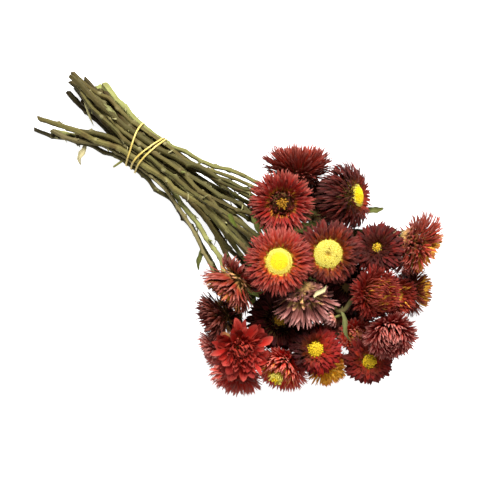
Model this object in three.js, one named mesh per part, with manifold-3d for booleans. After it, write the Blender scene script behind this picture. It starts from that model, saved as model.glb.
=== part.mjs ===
// A tied bunch of dried strawflowers, lying on its side on a flat surface.
//
// Frame: millimetres, +Z up, the surface at z = 0. +X runs along the bunch from the cut stem ends to the
// flower heads, and the origin is the middle of the bunch's footprint.
//
// Every flower is two solids: its stem, one tapering five-sided rod from the cut end to the neck, and its
// head, one closed surface whose rings of pointed papery bracts grow from a small receptacle. A head that is
// fully open also holds a domed disc of florets. One rubber band, wound three times, ties the stems.

import * as THREE from "three";
import Module from "manifold-3d";

const wasm = await Module();
wasm.setup();

// ---------------------------------------------------------------- driving dimensions (mm, degrees)

// Heads: [along, across, up, heading, pitch, radius, kind]. The first three place the head's middle from the
// tie, heading turns its face round +Z from +X, and pitch lifts the face above the horizontal.
const HEADS = [
  [103, 48.5, 52, 125, 8, 26, "half"],
  [112, 16, 72, -45, 70, 22.5, "half"],
  [136, -21, 86, -55, 80, 23.5, "open"],
  [158.5, 5, 74, -60, 77, 23, "open"],
  [147, 51.5, 57, 35, 30, 26, "domed"],
  [117, -49, 56, -95, 0, 22.5, "half"],
  [119, -70, 34, -125, 15, 20, "half"],
  [149, -81, 60, -30, 60, 20, "broad"],
  [128, -88, 17, -120, 0, 15, "half"],
  [152, -93, 22, -75, -30, 20, "half"],
  [176.5, -72.5, 40, -80, 25, 20, "half"],
  [156, -47, 44, -55, 80, 24, "half"],
  [163.8, -29, 66, -45, -45, 22, "half"],
  [189, -51, 58, -55, 85, 18.5, "open"],
  [203, -51.5, 20, -25, -15, 17, "half"],
  [222, -33, 42, -40, 65, 19, "open"],
  [224, -12.5, 58, -50, 46, 20, "closed"],
  [205, -24, 40, -30, 65, 13, "closed"],
  [200, 2.5, 66, 20, 58, 20.5, "closed"],
  [183, 31, 60, -150, 78, 20.5, "open"],
  [204, 51.5, 45, 5, -12, 27, "open"],
  [219.5, 30, 22, 35, -5, 19.5, "half"],
  [212, 15, 43, 0, 60, 16, "half"],
  [180.5, 0, 42, -90, 50, 21, "half"],
  [129, 42, 21, 100, -20, 23, "half"],
  [190, -11, 18, -30, -50, 22, "half"],
];

const TIE_HEIGHT = 18; // middle of the tie above the surface
const TIE_HALF_WIDTH = 18; // the squeezed stems fill an ellipse of these half axes
const TIE_HALF_HEIGHT = 9;
const SLOT_PITCH = 4.4; // spacing of the stems inside the tie
const TIE_ASIDE = 1.3; // how far the stems' middle lies to the left of the tie's
const GRIP = [-13, 11]; // the stems run parallel between these places along the bunch
const CUT_BACK = [48, 81]; // nearest and furthest cut end, behind the tie
// The cut ends fan out in two tufts: the stems to the right of the split, and the rest. Each tuft spreads its
// stems' places in the tie by a factor, and shifts them.
const CUT_SPLIT = -5;
const CUT_TUFTS = { right: { spread: 1.5, shift: -7 }, left: { spread: 0.75, shift: 12 } };
const CUT_RISE = 1.25; // how far the cut ends fan out up and down
const CUT_DROP = 9; // how far the fan's middle sinks below the tie
const CUT_JUMBLE = 7; // and how far a cut end strays from its place in the fan
const SLOT_JUMBLE = 5; // how far a stem strays from the slot nearest its head
const STEM_RADIUS = [1.45, 2.05]; // thinnest and thickest stem, at the cut end
const NECK_SHARE = 0.68; // radius under the head as a share of that
const NECK = 8; // straight length under the head
const CROOK = 0.5; // how strongly a stem keeps its own crooked line
const GAP = 0.3; // between neighbouring solids
const STEM_SIDES = 5;

// Narrow dried leaves: [along, across, up, heading, pitch, length, width], the first three the root's place
// from the tie. Each springs from the stem nearest to its root. So does each side shoot, which is given by
// its root, heading, pitch, length and the radius of the bud at its end, or 0 for a broken stub.
const LEAVES = [
  [-29, -21, 12, -112, -10, 15, 4.2],
  [-46, 2, 16, 190, 25, 13, 3.4],
  [86, -6, 44, -25, 50, 16, 3.4],
  [122, -44, 34, -35, 40, 14, 3.4],
  [171, 44.5, 43, 40, 8, 20, 4.6],
  [186, 50, 45, 50, 20, 14, 3.4],
  [184, -24, 50, -60, 50, 14, 3.6],
];
const LEAF_THICKNESS = 0.8;
const SHOOTS = [
  [-8, -14, 16, -105, 10, 9, 0],
  [40, 12, 26, 60, 30, 6, 0],
  [184, -25, 31, -5, 66, 22, 4.4],
];

const BAND_WIDTH = 1.5;
const BAND_THICKNESS = 1.0;

// ---------------------------------------------------------------- seeded draws

function draws(seed) {
  let state = seed >>> 0;
  return () => {
    state = (state + 0x6d2b79f5) >>> 0;
    let t = Math.imul(state ^ (state >>> 15), 1 | state);
    t = (t + Math.imul(t ^ (t >>> 7), 61 | t)) ^ t;
    return ((t ^ (t >>> 14)) >>> 0) / 4294967296;
  };
}

const vec = (x, y, z) => new THREE.Vector3(x, y, z);

// The direction that is turned round +Z from +X by the heading, and lifted above the horizontal by the pitch.
function toward(heading, pitch) {
  const turn = THREE.MathUtils.degToRad(heading);
  const lift = THREE.MathUtils.degToRad(pitch);
  return vec(Math.cos(turn) * Math.cos(lift), Math.sin(turn) * Math.cos(lift), Math.sin(lift));
}

// A closed surface built up from rings of corners, with each ring given as the numbers of its corners.
class Skin {
  points = [];
  faces = [];

  ring(points) {
    return points.map((point) => this.points.push(point) - 1);
  }

  join(lower, upper) {
    lower.forEach((corner, j) => {
      const next = (j + 1) % lower.length;
      this.faces.push([corner, lower[next], upper[j]], [lower[next], upper[next], upper[j]]);
    });
  }

  cap(ring) {
    for (let j = 1; j < ring.length - 1; j++) this.faces.push([ring[0], ring[j], ring[j + 1]]);
  }

  fan(ring, point) {
    const [tip] = this.ring([point]);
    ring.forEach((corner, j) => this.faces.push([corner, ring[(j + 1) % ring.length], tip]));
  }

  solid() {
    const vertProperties = new Float32Array(this.points.flatMap((point) => point.toArray()));
    const made = (faces) => {
      const triVerts = new Uint32Array(faces.flat());
      return new wasm.Manifold(new wasm.Mesh({ numProp: 3, vertProperties, triVerts }));
    };
    const solid = made(this.faces);
    return solid.volume() > 0 ? solid : made(this.faces.map(([a, b, c]) => [a, c, b]));
  }
}

// ---------------------------------------------------------------- heads

// Ring profiles as shares of the head's radius, from the lowest bracts to the innermost. Each layer gives its
// tips and the notches between them as [radius, height], and the groove above it. base is the flat that
// meets the stem, pole the height of the middle, and middle and half the centre and half height of the
// ellipsoid that the head fills. Where disc is set, a disc of florets lies over the middle.
const KINDS = {
  open: {
    bracts: 16,
    base: [0.13, -0.54],
    middle: -0.08,
    half: 0.52,
    pole: 0.14,
    disc: true,
    layers: [
      { tip: [0.74, -0.52], notch: [0.54, -0.43], groove: [0.36, -0.27] },
      { tip: [0.96, -0.3], notch: [0.72, -0.2], groove: [0.42, -0.07] },
      { tip: [1.0, 0.05], notch: [0.72, 0.06], groove: [0.44, 0.08] },
      { tip: [0.78, 0.3], notch: [0.6, 0.22], groove: [0.43, 0.14] },
    ],
  },
  domed: {
    bracts: 16,
    base: [0.13, -0.66],
    middle: -0.2,
    half: 0.62,
    pole: 0.14,
    disc: true,
    layers: [
      { tip: [0.7, -0.84], notch: [0.56, -0.68], groove: [0.46, -0.48] },
      { tip: [0.95, -0.52], notch: [0.76, -0.4], groove: [0.5, -0.22] },
      { tip: [1.0, -0.06], notch: [0.76, -0.02], groove: [0.47, 0.04] },
      { tip: [0.76, 0.28], notch: [0.6, 0.21], groove: [0.43, 0.14] },
    ],
  },
  half: {
    bracts: 16,
    base: [0.13, -0.6],
    middle: 0.02,
    half: 0.64,
    pole: 0.36,
    layers: [
      { tip: [0.76, -0.44], notch: [0.56, -0.38], groove: [0.38, -0.2] },
      { tip: [0.96, -0.12], notch: [0.7, -0.08], groove: [0.44, 0.02] },
      { tip: [0.98, 0.24], notch: [0.7, 0.18], groove: [0.4, 0.2] },
      { tip: [0.68, 0.56], notch: [0.5, 0.42], groove: [0.2, 0.34] },
    ],
  },
  broad: {
    bracts: 9,
    base: [0.15, -0.55],
    middle: 0.02,
    half: 0.58,
    pole: 0.34,
    layers: [
      { tip: [0.86, -0.36], notch: [0.62, -0.3], groove: [0.36, -0.14] },
      { tip: [1.0, -0.04], notch: [0.74, 0.0], groove: [0.4, 0.08] },
      { tip: [0.9, 0.3], notch: [0.66, 0.24], groove: [0.32, 0.22] },
      { tip: [0.54, 0.56], notch: [0.4, 0.44], groove: [0.18, 0.36] },
    ],
  },
  closed: {
    bracts: 15,
    base: [0.14, -0.56],
    middle: 0.06,
    half: 0.64,
    pole: 0.56,
    layers: [
      { tip: [0.84, -0.34], notch: [0.64, -0.28], groove: [0.44, -0.12] },
      { tip: [0.98, 0.06], notch: [0.76, 0.08], groove: [0.48, 0.16] },
      { tip: [0.86, 0.4], notch: [0.66, 0.34], groove: [0.38, 0.36] },
      { tip: [0.52, 0.68], notch: [0.4, 0.58], groove: [0.16, 0.54] },
    ],
  },
};

const heads = HEADS.map(([x, y, z, heading, pitch, radius, kind], index) => {
  const shape = KINDS[kind];
  const face = toward(heading, pitch);
  const heart = vec(x, y, z);
  return {
    name: String(index + 1).padStart(2, "0"),
    index,
    kind,
    shape,
    radius,
    face,
    heart,
    middle: heart.clone().addScaledVector(face, shape.middle * radius),
    base: heart.clone().addScaledVector(face, shape.base[1] * radius),
    walls: [{ normal: vec(0, 0, -1), reach: z + face.z * shape.middle * radius - 0.1 }],
  };
});

// How far the head's ellipsoid reaches from its middle in a direction.
function reach(head, direction) {
  const along = head.face.dot(direction) ** 2;
  return head.radius * Math.sqrt(1 - along + along * head.shape.half ** 2);
}

// Directions spread evenly over the sphere.
const SPREAD = 600;
const DIRECTIONS = Array.from({ length: SPREAD }, (_, i) => {
  const z = 1 - (2 * i + 1) / SPREAD;
  const turn = i * Math.PI * (3 - Math.sqrt(5));
  return vec(Math.cos(turn) * Math.sqrt(1 - z * z), Math.sin(turn) * Math.sqrt(1 - z * z), z);
});

// Two heads that press on each other, or nearly do, share a flat wall, square to the direction in which they
// overlap least.
const NEARLY = 3;
for (const a of heads)
  for (const b of heads.slice(a.index + 1)) {
    const apart = b.middle.clone().sub(a.middle);
    let best = { gap: -Infinity };
    for (const normal of DIRECTIONS) {
      const gap = apart.dot(normal) - reach(a, normal) - reach(b, normal);
      if (gap > best.gap) best = { gap, normal };
    }
    if (best.gap > NEARLY) continue;
    const ra = reach(a, best.normal);
    const rb = reach(b, best.normal);
    const between = best.gap / (ra + rb);
    a.walls.push({ normal: best.normal, reach: ra * (1 + between) - GAP / 2 });
    b.walls.push({ normal: best.normal.clone().negate(), reach: rb * (1 + between) - GAP / 2 });
  }

// Draws a point of a head in towards its middle, so that it ends inside every wall.
const SOFTNESS = 6;
function press(head, point) {
  const out = point.clone().sub(head.middle);
  const share = Math.max(0, ...head.walls.map((wall) => out.dot(wall.normal) / wall.reach));
  return out.multiplyScalar((1 + share ** SOFTNESS) ** (-1 / SOFTNESS)).add(head.middle);
}

function placed(head, radius, angle, height) {
  const turned = new THREE.Quaternion().setFromUnitVectors(vec(0, 0, 1), head.face);
  const local = vec(radius * Math.cos(angle), radius * Math.sin(angle), height);
  return local.multiplyScalar(head.radius).applyQuaternion(turned).add(head.heart);
}

// One closed surface: base flat, then for each layer its zigzag rim of tips and notches and the groove above
// it, each turned half a bract from the last, and a cap over the innermost groove. The tips stray by these
// shares of a bract's width, of their radius and of the head's radius.
const STRAY = { turn: 0.16, radius: 0.07, height: 0.05 };
const NOTCH_STRAY = 0.3;
function headSolid(head) {
  const random = draws(101 + 17 * head.index);
  const vary = (amount) => (2 * random() - 1) * amount;
  const n = head.shape.bracts;
  const step = (2 * Math.PI) / n;
  const skin = new Skin();
  const rim = ([radius, height], offset, loose) =>
    skin.ring(
      Array.from({ length: n }, (_, j) => {
        const angle = (j + offset + vary(STRAY.turn * loose)) * step;
        const out = radius * (1 + vary(STRAY.radius * loose));
        return press(head, placed(head, out, angle, height + vary(STRAY.height * loose)));
      }),
    );
  let below = rim(head.shape.base, 0, 0);
  skin.cap([...below].reverse());
  head.shape.layers.forEach(({ tip, notch, groove }, k) => {
    const tips = rim(tip, k / 2, 1);
    const notches = rim(notch, k / 2 + 0.5, NOTCH_STRAY);
    const above = rim(groove, k / 2 + 0.5, 0);
    for (let j = 0; j < n; j++) {
      const next = (j + 1) % n;
      const last = (j + n - 1) % n;
      skin.faces.push([below[j], notches[j], tips[j]], [below[j], below[next], notches[j]]);
      skin.faces.push([below[next], tips[next], notches[j]], [tips[j], notches[j], above[j]]);
      skin.faces.push([notches[j], tips[next], above[j]], [above[last], tips[j], above[j]]);
    }
    below = above;
  });
  skin.fan(below, press(head, placed(head, 0, 0, head.shape.pole)));
  return skin.solid();
}

// The florets of an open head: a low dome, its rings raised and sunk in turn.
const DISC_SIDES = 16;
const DISC_RINGS = [[0.4, 0.165], [0.37, 0.24], [0.26, 0.29], [0.13, 0.32]];
const FLORET_RELIEF = 0.02;
function discSolid(head) {
  const skin = new Skin();
  const rings = DISC_RINGS.map(([radius, height], k) =>
    skin.ring(
      Array.from({ length: DISC_SIDES }, (_, j) => {
        const relief = k === 0 ? 0 : (j + k) % 2 ? FLORET_RELIEF : -FLORET_RELIEF;
        return press(head, placed(head, radius, (j * 2 * Math.PI) / DISC_SIDES, height + relief));
      }),
    ),
  );
  skin.cap([...rings[0]].reverse());
  rings.slice(1).forEach((upper, k) => skin.join(rings[k], upper));
  skin.fan(rings.at(-1), press(head, placed(head, 0, 0, DISC_RINGS.at(-1)[1])));
  return skin.solid();
}

// ---------------------------------------------------------------- stems

// Places for the stems inside the tie: a triangular grid cut to the ellipse, nearest to its middle first.
function slots(count) {
  const found = [];
  for (let row = -6; row <= 6; row++)
    for (let column = -8; column <= 8; column++) {
      const across = (column + (row % 2 ? 0.5 : 0)) * SLOT_PITCH;
      const up = row * SLOT_PITCH * Math.sqrt(0.75);
      found.push({ across, up, far: Math.hypot(across / TIE_HALF_WIDTH, up / TIE_HALF_HEIGHT) });
    }
  return found.sort((a, b) => a.far - b.far || a.across - b.across || a.up - b.up).slice(0, count);
}

// Gives each head the slot that lies most nearly in its direction from the tie, by swapping pairs. The aim
// stretches those directions, less their middle, to fill the tie.
const AIM = { across: 29.5, up: 23.4, middle: [4, -3] };
function sharedOut() {
  const chosen = slots(heads.length);
  const random = draws(11);
  const stray = () => SLOT_JUMBLE * (random() - 0.5);
  const wish = heads.map(({ base }) => ({
    across: (AIM.across * base.y) / base.x + AIM.middle[0] + stray(),
    up: (AIM.up * (base.z - TIE_HEIGHT)) / base.x + AIM.middle[1] + stray(),
  }));
  const cost = (i, s) => (wish[i].across - s.across) ** 2 + (wish[i].up - s.up) ** 2;
  for (let changed = true; changed; ) {
    changed = false;
    for (let i = 0; i < chosen.length; i++)
      for (let j = i + 1; j < chosen.length; j++)
        if (cost(i, chosen[j]) + cost(j, chosen[i]) < cost(i, chosen[i]) + cost(j, chosen[j]) - 1e-9) {
          [chosen[i], chosen[j]] = [chosen[j], chosen[i]];
          changed = true;
        }
  }
  return chosen;
}

// A stem's line has 17 points. The two in the tie and the two at the head are held.
const POINTS = 17;
const GRIPPED = [3, 4];
const held = (k) => GRIPPED.includes(k) || k >= POINTS - 2;

function cutEnd(slot, random) {
  const jumble = () => CUT_JUMBLE * (random() - 0.5);
  const back = THREE.MathUtils.lerp(...CUT_BACK, random());
  const tuft = slot.across < CUT_SPLIT ? CUT_TUFTS.right : CUT_TUFTS.left;
  const across = slot.across * tuft.spread + tuft.shift + jumble();
  return vec(-back, across, TIE_HEIGHT - CUT_DROP + slot.up * CUT_RISE + jumble());
}

// The first guess at each line: straight from the cut end to the tie, then one bow to the head, which runs on
// along the bunch and into the head's axis for these shares of its length.
const BOW = { start: 0.4, end: 0.3, most: 26 };
function stemLines() {
  const chosen = sharedOut();
  const lowest = chosen.reduce((best, s, i) => (s.up < chosen[best].up ? i : best), 0);
  return heads.map((head, i) => {
    const random = draws(7 + 31 * i);
    const slot = chosen[i];
    const thick = THREE.MathUtils.lerp(...STEM_RADIUS, random());
    const cut = cutEnd(slot, random);
    const [rear, front] = GRIP.map((x) => vec(x, slot.across + TIE_ASIDE, TIE_HEIGHT + slot.up));
    const [neck, end] = [NECK + GAP, GAP].map((d) => head.base.clone().addScaledVector(head.face, -d));
    const far = front.distanceTo(neck);
    const bow = new THREE.CubicBezierCurve3(
      front,
      front.clone().add(vec(BOW.start * far, 0, 0)),
      neck.clone().addScaledVector(head.face, -Math.min(BOW.most, BOW.end * far)),
      neck,
    );
    const points = [];
    for (let k = 0; k < GRIPPED[0]; k++) points.push(cut.clone().lerp(rear, k / GRIPPED[0]));
    points.push(rear, ...bow.getSpacedPoints(POINTS - 2 - GRIPPED[1]), end);
    const radii = points.map((_, k) => thick * (1 - (1 - NECK_SHARE) * (k / (POINTS - 1)) ** 1.5));
    const crook = points.map(() => vec(random(), random(), random()).subScalar(0.5).multiplyScalar(CROOK));
    return { head, points, radii, crook, lies: i === lowest };
  });
}

// The share of each end that the closest points of two segments have, and the gap's direction.
function nearest(a, b, c, d) {
  const u = b.clone().sub(a);
  const v = d.clone().sub(c);
  const w = a.clone().sub(c);
  const uu = u.dot(u);
  const uv = u.dot(v);
  const vv = v.dot(v);
  const uw = u.dot(w);
  const vw = v.dot(w);
  const bottom = uu * vv - uv * uv;
  let s = bottom > 1e-9 ? THREE.MathUtils.clamp((uv * vw - vv * uw) / bottom, 0, 1) : 0.5;
  const t = THREE.MathUtils.clamp((uv * s + vw) / vv, 0, 1);
  s = THREE.MathUtils.clamp((uv * t - uw) / uu, 0, 1);
  const away = w.addScaledVector(u, s).addScaledVector(v, -t);
  return { s, t, away, distance: away.length() };
}

// Moves a stem's segment by an offset, shared between its free ends.
function shift(stem, k, share, offset) {
  if (!held(k)) stem.points[k].addScaledVector(offset, 1 - share);
  if (!held(k + 1)) stem.points[k + 1].addScaledVector(offset, share);
}

const NEAR = 40; // segments that start further apart than this can't touch
const ROOM = GAP + 0.15; // kept between round stems
function partStems(stems) {
  for (let i = 0; i < stems.length; i++)
    for (let j = i + 1; j < stems.length; j++)
      for (let k = 0; k < POINTS - 1; k++)
        for (let m = 0; m < POINTS - 1; m++) {
          const a = stems[i];
          const b = stems[j];
          if (a.points[k].distanceToSquared(b.points[m]) > NEAR ** 2) continue;
          const need = a.radii[k] + b.radii[m] + ROOM;
          const ends = [a.points[k], a.points[k + 1], b.points[m], b.points[m + 1]];
          const { s, t, away, distance } = nearest(...ends);
          if (distance >= need || distance < 1e-6) continue;
          away.multiplyScalar((0.5 * (need - distance)) / distance);
          shift(a, k, s, away);
          shift(b, m, t, away.clone().negate());
        }
}

// Pushes a stem out of the heads: along the slope of each head's ellipsoid, in small steps. Its own head
// doesn't push its neck.
const HEAD_SHARE = 0.96; // of a head's ellipsoid that keeps stems out
const MOST_PUSH = 1.5;
const NECK_POINTS = 3;
function clearHeads(stem) {
  for (let k = GRIPPED[1]; k < POINTS - 1; k++)
    for (const share of [0, 0.33, 0.67])
      for (const head of heads) {
        if (head === stem.head && k >= POINTS - NECK_POINTS) continue;
        const point = stem.points[k].clone().lerp(stem.points[k + 1], share).sub(head.middle);
        const along = head.face.dot(point);
        const side = point.clone().addScaledVector(head.face, -along);
        const a = head.radius * HEAD_SHARE + stem.radii[k] + ROOM;
        const b = head.radius * head.shape.half * HEAD_SHARE + stem.radii[k] + ROOM;
        const level = Math.hypot(side.length() / a, along / b);
        if (level >= 1 || level < 1e-3) continue;
        const slope = side.divideScalar(a * a).addScaledVector(head.face, along / (b * b));
        const push = slope.normalize().multiplyScalar(Math.min(MOST_PUSH, (1 - level) * b));
        shift(stem, k, share, push);
      }
}

// Draws each point towards its neighbours' middle, and more towards the place that bends the line evenly.
const BENDING = 0.8;
function smooth(stem, amount) {
  const old = stem.points.map((p) => p.clone());
  for (let k = 1; k < POINTS - 2; k++) {
    if (held(k)) continue;
    const want = old[k - 1].clone().add(old[k + 1]).multiplyScalar(0.5);
    if (k > 1) {
      const bend = want.clone().multiplyScalar(4 / 3);
      bend.addScaledVector(old[k - 2], -1 / 6).addScaledVector(old[k + 2], -1 / 6);
      want.lerp(bend, BENDING).add(stem.crook[k]);
    }
    stem.points[k].lerp(want, amount);
  }
}

const ROUNDS = 260;
const SETTLING = 60; // last rounds, in which the lines only part from each other
const STIFFNESS = 0.35;
function relaxed(stems) {
  for (let round = 0; round < ROUNDS; round++) {
    const stiffness = STIFFNESS * (1 - round / (ROUNDS - SETTLING));
    for (const stem of stems) {
      if (stiffness > 0) smooth(stem, stiffness);
      clearHeads(stem);
    }
    partStems(stems);
    for (const stem of stems)
      stem.points.forEach((point, k) => {
        const floor = stem.radii[k] * Math.cos(Math.PI / STEM_SIDES);
        if (!held(k) && point.z < floor) point.z = floor;
        if (stem.lies && k < 2) point.z = floor;
      });
  }
  return stems;
}

// A rod through the line: rings square to the bisected bends, a flat side down at the cut end.
function rodSolid(points, radii, grown = 0) {
  const skin = new Skin();
  let before = points[1].clone().sub(points[0]).normalize();
  const side = before.clone().cross(vec(0, 0, 1));
  const rings = points.map((point, k) => {
    const ahead = k === points.length - 1 ? before : points[k + 1].clone().sub(point).normalize();
    const along = before.clone().add(ahead).normalize();
    side.addScaledVector(along, -side.dot(along)).normalize();
    before = ahead;
    const up = side.clone().cross(along);
    const ring = Array.from({ length: STEM_SIDES }, (_, j) => {
      const angle = -Math.PI / 2 + ((j + 0.5) * 2 * Math.PI) / STEM_SIDES;
      const corner = point.clone().addScaledVector(side, Math.cos(angle) * (radii[k] + grown));
      return corner.addScaledVector(up, Math.sin(angle) * (radii[k] + grown));
    });
    return skin.ring(ring);
  });
  skin.cap([...rings[0]].reverse());
  rings.slice(1).forEach((upper, k) => skin.join(rings[k], upper));
  skin.cap(rings.at(-1));
  return skin.solid();
}

// A leaf: four-cornered rings at these shares of its length, which widen from the root and close to a point,
// arching down on the way. Each ring is the sine of its place between the two ends of a half turn wide.
const LEAF_RINGS = [0, 0.2, 0.45, 0.72];
const LEAF_ENDS = [0.14, 0.94];
const LEAF_TAPER = 0.3; // how much thinner the tip is than the root, as a share
const LEAF_ARCH = 0.3; // drop of the tip as a share of the length
function leafSolid([x, y, z, heading, pitch, length, width]) {
  const ahead = toward(heading, pitch);
  const side = toward(heading + 90, 0);
  const up = ahead.clone().cross(side);
  const at = (share, across, above) =>
    vec(x, y, z)
      .addScaledVector(ahead, share * length)
      .addScaledVector(side, across)
      .addScaledVector(up, above - LEAF_ARCH * length * share ** 2);
  const skin = new Skin();
  const rings = LEAF_RINGS.map((share) => {
    const half = (width / 2) * Math.sin(Math.PI * THREE.MathUtils.lerp(...LEAF_ENDS, share));
    const thick = (LEAF_THICKNESS / 2) * (1 - LEAF_TAPER * share);
    return skin.ring([at(share, half, 0), at(share, 0, thick), at(share, -half, 0), at(share, 0, -thick)]);
  });
  skin.cap([...rings[0]].reverse());
  rings.slice(1).forEach((upper, k) => skin.join(rings[k], upper));
  skin.fan(rings.at(-1), at(1, 0, 0));
  return skin.solid();
}

// A side shoot: a short rod that ends as a broken stub, or swells into a closed bud. Its profile gives the
// share of the length and the radius, which in the bud is a share of the bud's.
const STUB = [[0, 0.8], [0.5, 0.72], [1, 0.56]];
const BUD_STALK = [[0, 1], [0.4, 0.85]];
const BUD = [[0.52, 0.7], [0.7, 1], [0.88, 0.75], [1, 0.15]];
function shootSolid([x, y, z, heading, pitch, length, bud]) {
  const profile = bud ? [...BUD_STALK, ...BUD.map(([share, radius]) => [share, radius * bud])] : STUB;
  const ahead = toward(heading, pitch);
  const points = profile.map(([share]) => vec(x, y, z).addScaledVector(ahead, share * length));
  return rodSolid(points, profile.map(([, radius]) => radius));
}

// The stem nearest to the root of a leaf or shoot, and the place on its line.
function rooted(root, stems) {
  let best = { far: Infinity };
  stems.forEach(({ points }, bearer) => {
    for (let k = 0; k < POINTS - 3; k++) {
      const segment = new THREE.Line3(points[k], points[k + 1]);
      const place = segment.closestPointToPoint(root, true, vec(0, 0, 0));
      const far = place.distanceTo(root);
      if (far < best.far) best = { far, place, bearer };
    }
  });
  return best;
}

// ---------------------------------------------------------------- rubber band

// Where each half turn of the band crosses the bunch's sides, along the bunch: left, right, left, right ...
const BAND_PLACES = [-11.5, -4, 7.5, 0.5, 9.5, 4.8];
const BAND_STEPS = 18; // per half turn
const BAND_LIFT = 1.35; // how far the last half turn stands off, where it crosses the others underneath

// Distance from the tie's middle to the outline of the stems, stretched tight, at one place along the bunch.
// The outline is the hull of rims drawn round the stems, and the ray in this direction meets the hull where
// the support lines that lean up to LEANS steps to either side leave the least room.
const RIM_SIDES = 24;
const RIM_ROOM = 0.12;
const LEANS = 44;
const LEAN = Math.PI / 90;
function outline(stems, along, angle) {
  const rim = [];
  for (const stem of stems) {
    const k = stem.points.findIndex((p, i) => i && p.x > along && stem.points[i - 1].x <= along);
    const a = stem.points[k - 1];
    const b = stem.points[k];
    const centre = a.clone().lerp(b, (along - a.x) / (b.x - a.x));
    const r = Math.max(stem.radii[k - 1], stem.radii[k]) + RIM_ROOM;
    for (let j = 0; j < RIM_SIDES; j++) {
      const turn = (j * 2 * Math.PI) / RIM_SIDES;
      rim.push([centre.y + r * Math.cos(turn), centre.z - TIE_HEIGHT + r * Math.sin(turn)]);
    }
  }
  let best = Infinity;
  for (let j = -LEANS; j <= LEANS; j++) {
    const lean = angle + j * LEAN;
    const support = Math.max(...rim.map(([y, z]) => y * Math.cos(lean) + z * Math.sin(lean)));
    best = Math.min(best, support / Math.cos(angle - lean));
  }
  return best;
}

function bandSolid(stems) {
  const skin = new Skin();
  const total = BAND_PLACES.length * BAND_STEPS;
  const rings = Array.from({ length: total }, (_, i) => {
    const half = Math.floor(i / BAND_STEPS);
    const share = (i % BAND_STEPS) / BAND_STEPS;
    const next = BAND_PLACES[(half + 1) % BAND_PLACES.length];
    const along = THREE.MathUtils.lerp(BAND_PLACES[half], next, share * share * (3 - 2 * share));
    const angle = (Math.PI * i) / BAND_STEPS;
    const lift = half === BAND_PLACES.length - 1 ? BAND_LIFT * Math.sqrt(Math.sin(Math.PI * share)) : 0;
    const inner = outline(stems, along, angle) + GAP + lift;
    const corner = (out, aside) =>
      vec(
        along + (aside * BAND_WIDTH) / 2,
        (inner + out) * Math.cos(angle),
        TIE_HEIGHT + (inner + out) * Math.sin(angle),
      );
    return skin.ring([corner(0, -1), corner(0, 1), corner(BAND_THICKNESS, 1), corner(BAND_THICKNESS, -1)]);
  });
  rings.forEach((lower, i) => skin.join(lower, rings[(i + 1) % total]));
  return skin.solid();
}

// ---------------------------------------------------------------- the bunch

const COLOURS = {
  bract: new THREE.MeshStandardMaterial({ color: 0x7d1416, roughness: 0.5, metalness: 0 }),
  disc: new THREE.MeshStandardMaterial({ color: 0xf0d02a, roughness: 0.8, metalness: 0 }),
  stem: new THREE.MeshStandardMaterial({ color: 0x6b6638, roughness: 0.75, metalness: 0 }),
  band: new THREE.MeshStandardMaterial({ color: 0xd9b548, roughness: 0.55, metalness: 0 }),
};

function meshOf(name, solid, material) {
  const { vertProperties, triVerts } = solid.getMesh();
  const geometry = new THREE.BufferGeometry();
  geometry.setAttribute("position", new THREE.BufferAttribute(vertProperties, 3));
  geometry.setIndex(new THREE.BufferAttribute(triVerts, 1));
  geometry.computeVertexNormals();
  const mesh = new THREE.Mesh(geometry, material);
  mesh.name = name;
  return mesh;
}

// Cuts a way for the stems that pass through a head's bracts, and drops loose scraps.
function cleared(solid, head, stems) {
  for (const stem of stems) {
    if (stem.head === head) continue;
    const way = rodSolid(stem.points, stem.radii, GAP);
    if (solid.intersect(way).volume() > 1e-3) solid = solid.subtract(way);
  }
  return solid.decompose().reduce((big, piece) => (piece.volume() > big.volume() ? piece : big));
}

const bunch = new THREE.Group();
const stems = relaxed(stemLines());
const rods = stems.map((stem) => rodSolid(stem.points, stem.radii));
const blooms = heads.map((head) => cleared(headSolid(head), head, stems));
const band = bandSolid(stems);

// Adds a leaf or shoot to the stem that it springs from. It has to be clear of everything else.
function grow(make, [x, y, z, ...rest]) {
  const { bearer, place } = rooted(vec(x, y, z), stems);
  const solid = make([...place.toArray(), ...rest]);
  const others = [...rods.filter((_, i) => i !== bearer), ...blooms, band];
  if (others.some((other) => other.intersect(solid).volume() > 1e-4))
    throw new Error(`the leaf or shoot from ${x}, ${y}, ${z} runs into something`);
  rods[bearer] = rods[bearer].add(solid);
}
for (const leaf of LEAVES) grow(leafSolid, leaf);
for (const shoot of SHOOTS) grow(shootSolid, shoot);

heads.forEach((head, i) => {
  bunch.add(meshOf(`stem_${head.name}`, rods[i], COLOURS.stem));
  bunch.add(meshOf(`head_${head.name}`, blooms[i], COLOURS.bract));
  if (head.shape.disc) bunch.add(meshOf(`disc_${head.name}`, discSolid(head), COLOURS.disc));
});
bunch.add(meshOf("rubber_band", band, COLOURS.band));

// The footprint's middle becomes the origin.
const footprint = new THREE.Box3().setFromObject(bunch);
const middle = footprint.getCenter(vec(0, 0, 0));
bunch.position.set(-middle.x, -middle.y, 0);

export default bunch;
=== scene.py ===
"""A tied bunch of dried strawflowers: papery blooms, yellow florets, ribbed stems with dried leaves, and
the rubber band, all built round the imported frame, with a pale studio to show them in.

Lengths are in metres. A bloom's own sizes are shares of its radius, given as (radius, height) in the plane
that holds its axis, with the height towards its face.
"""

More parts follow.
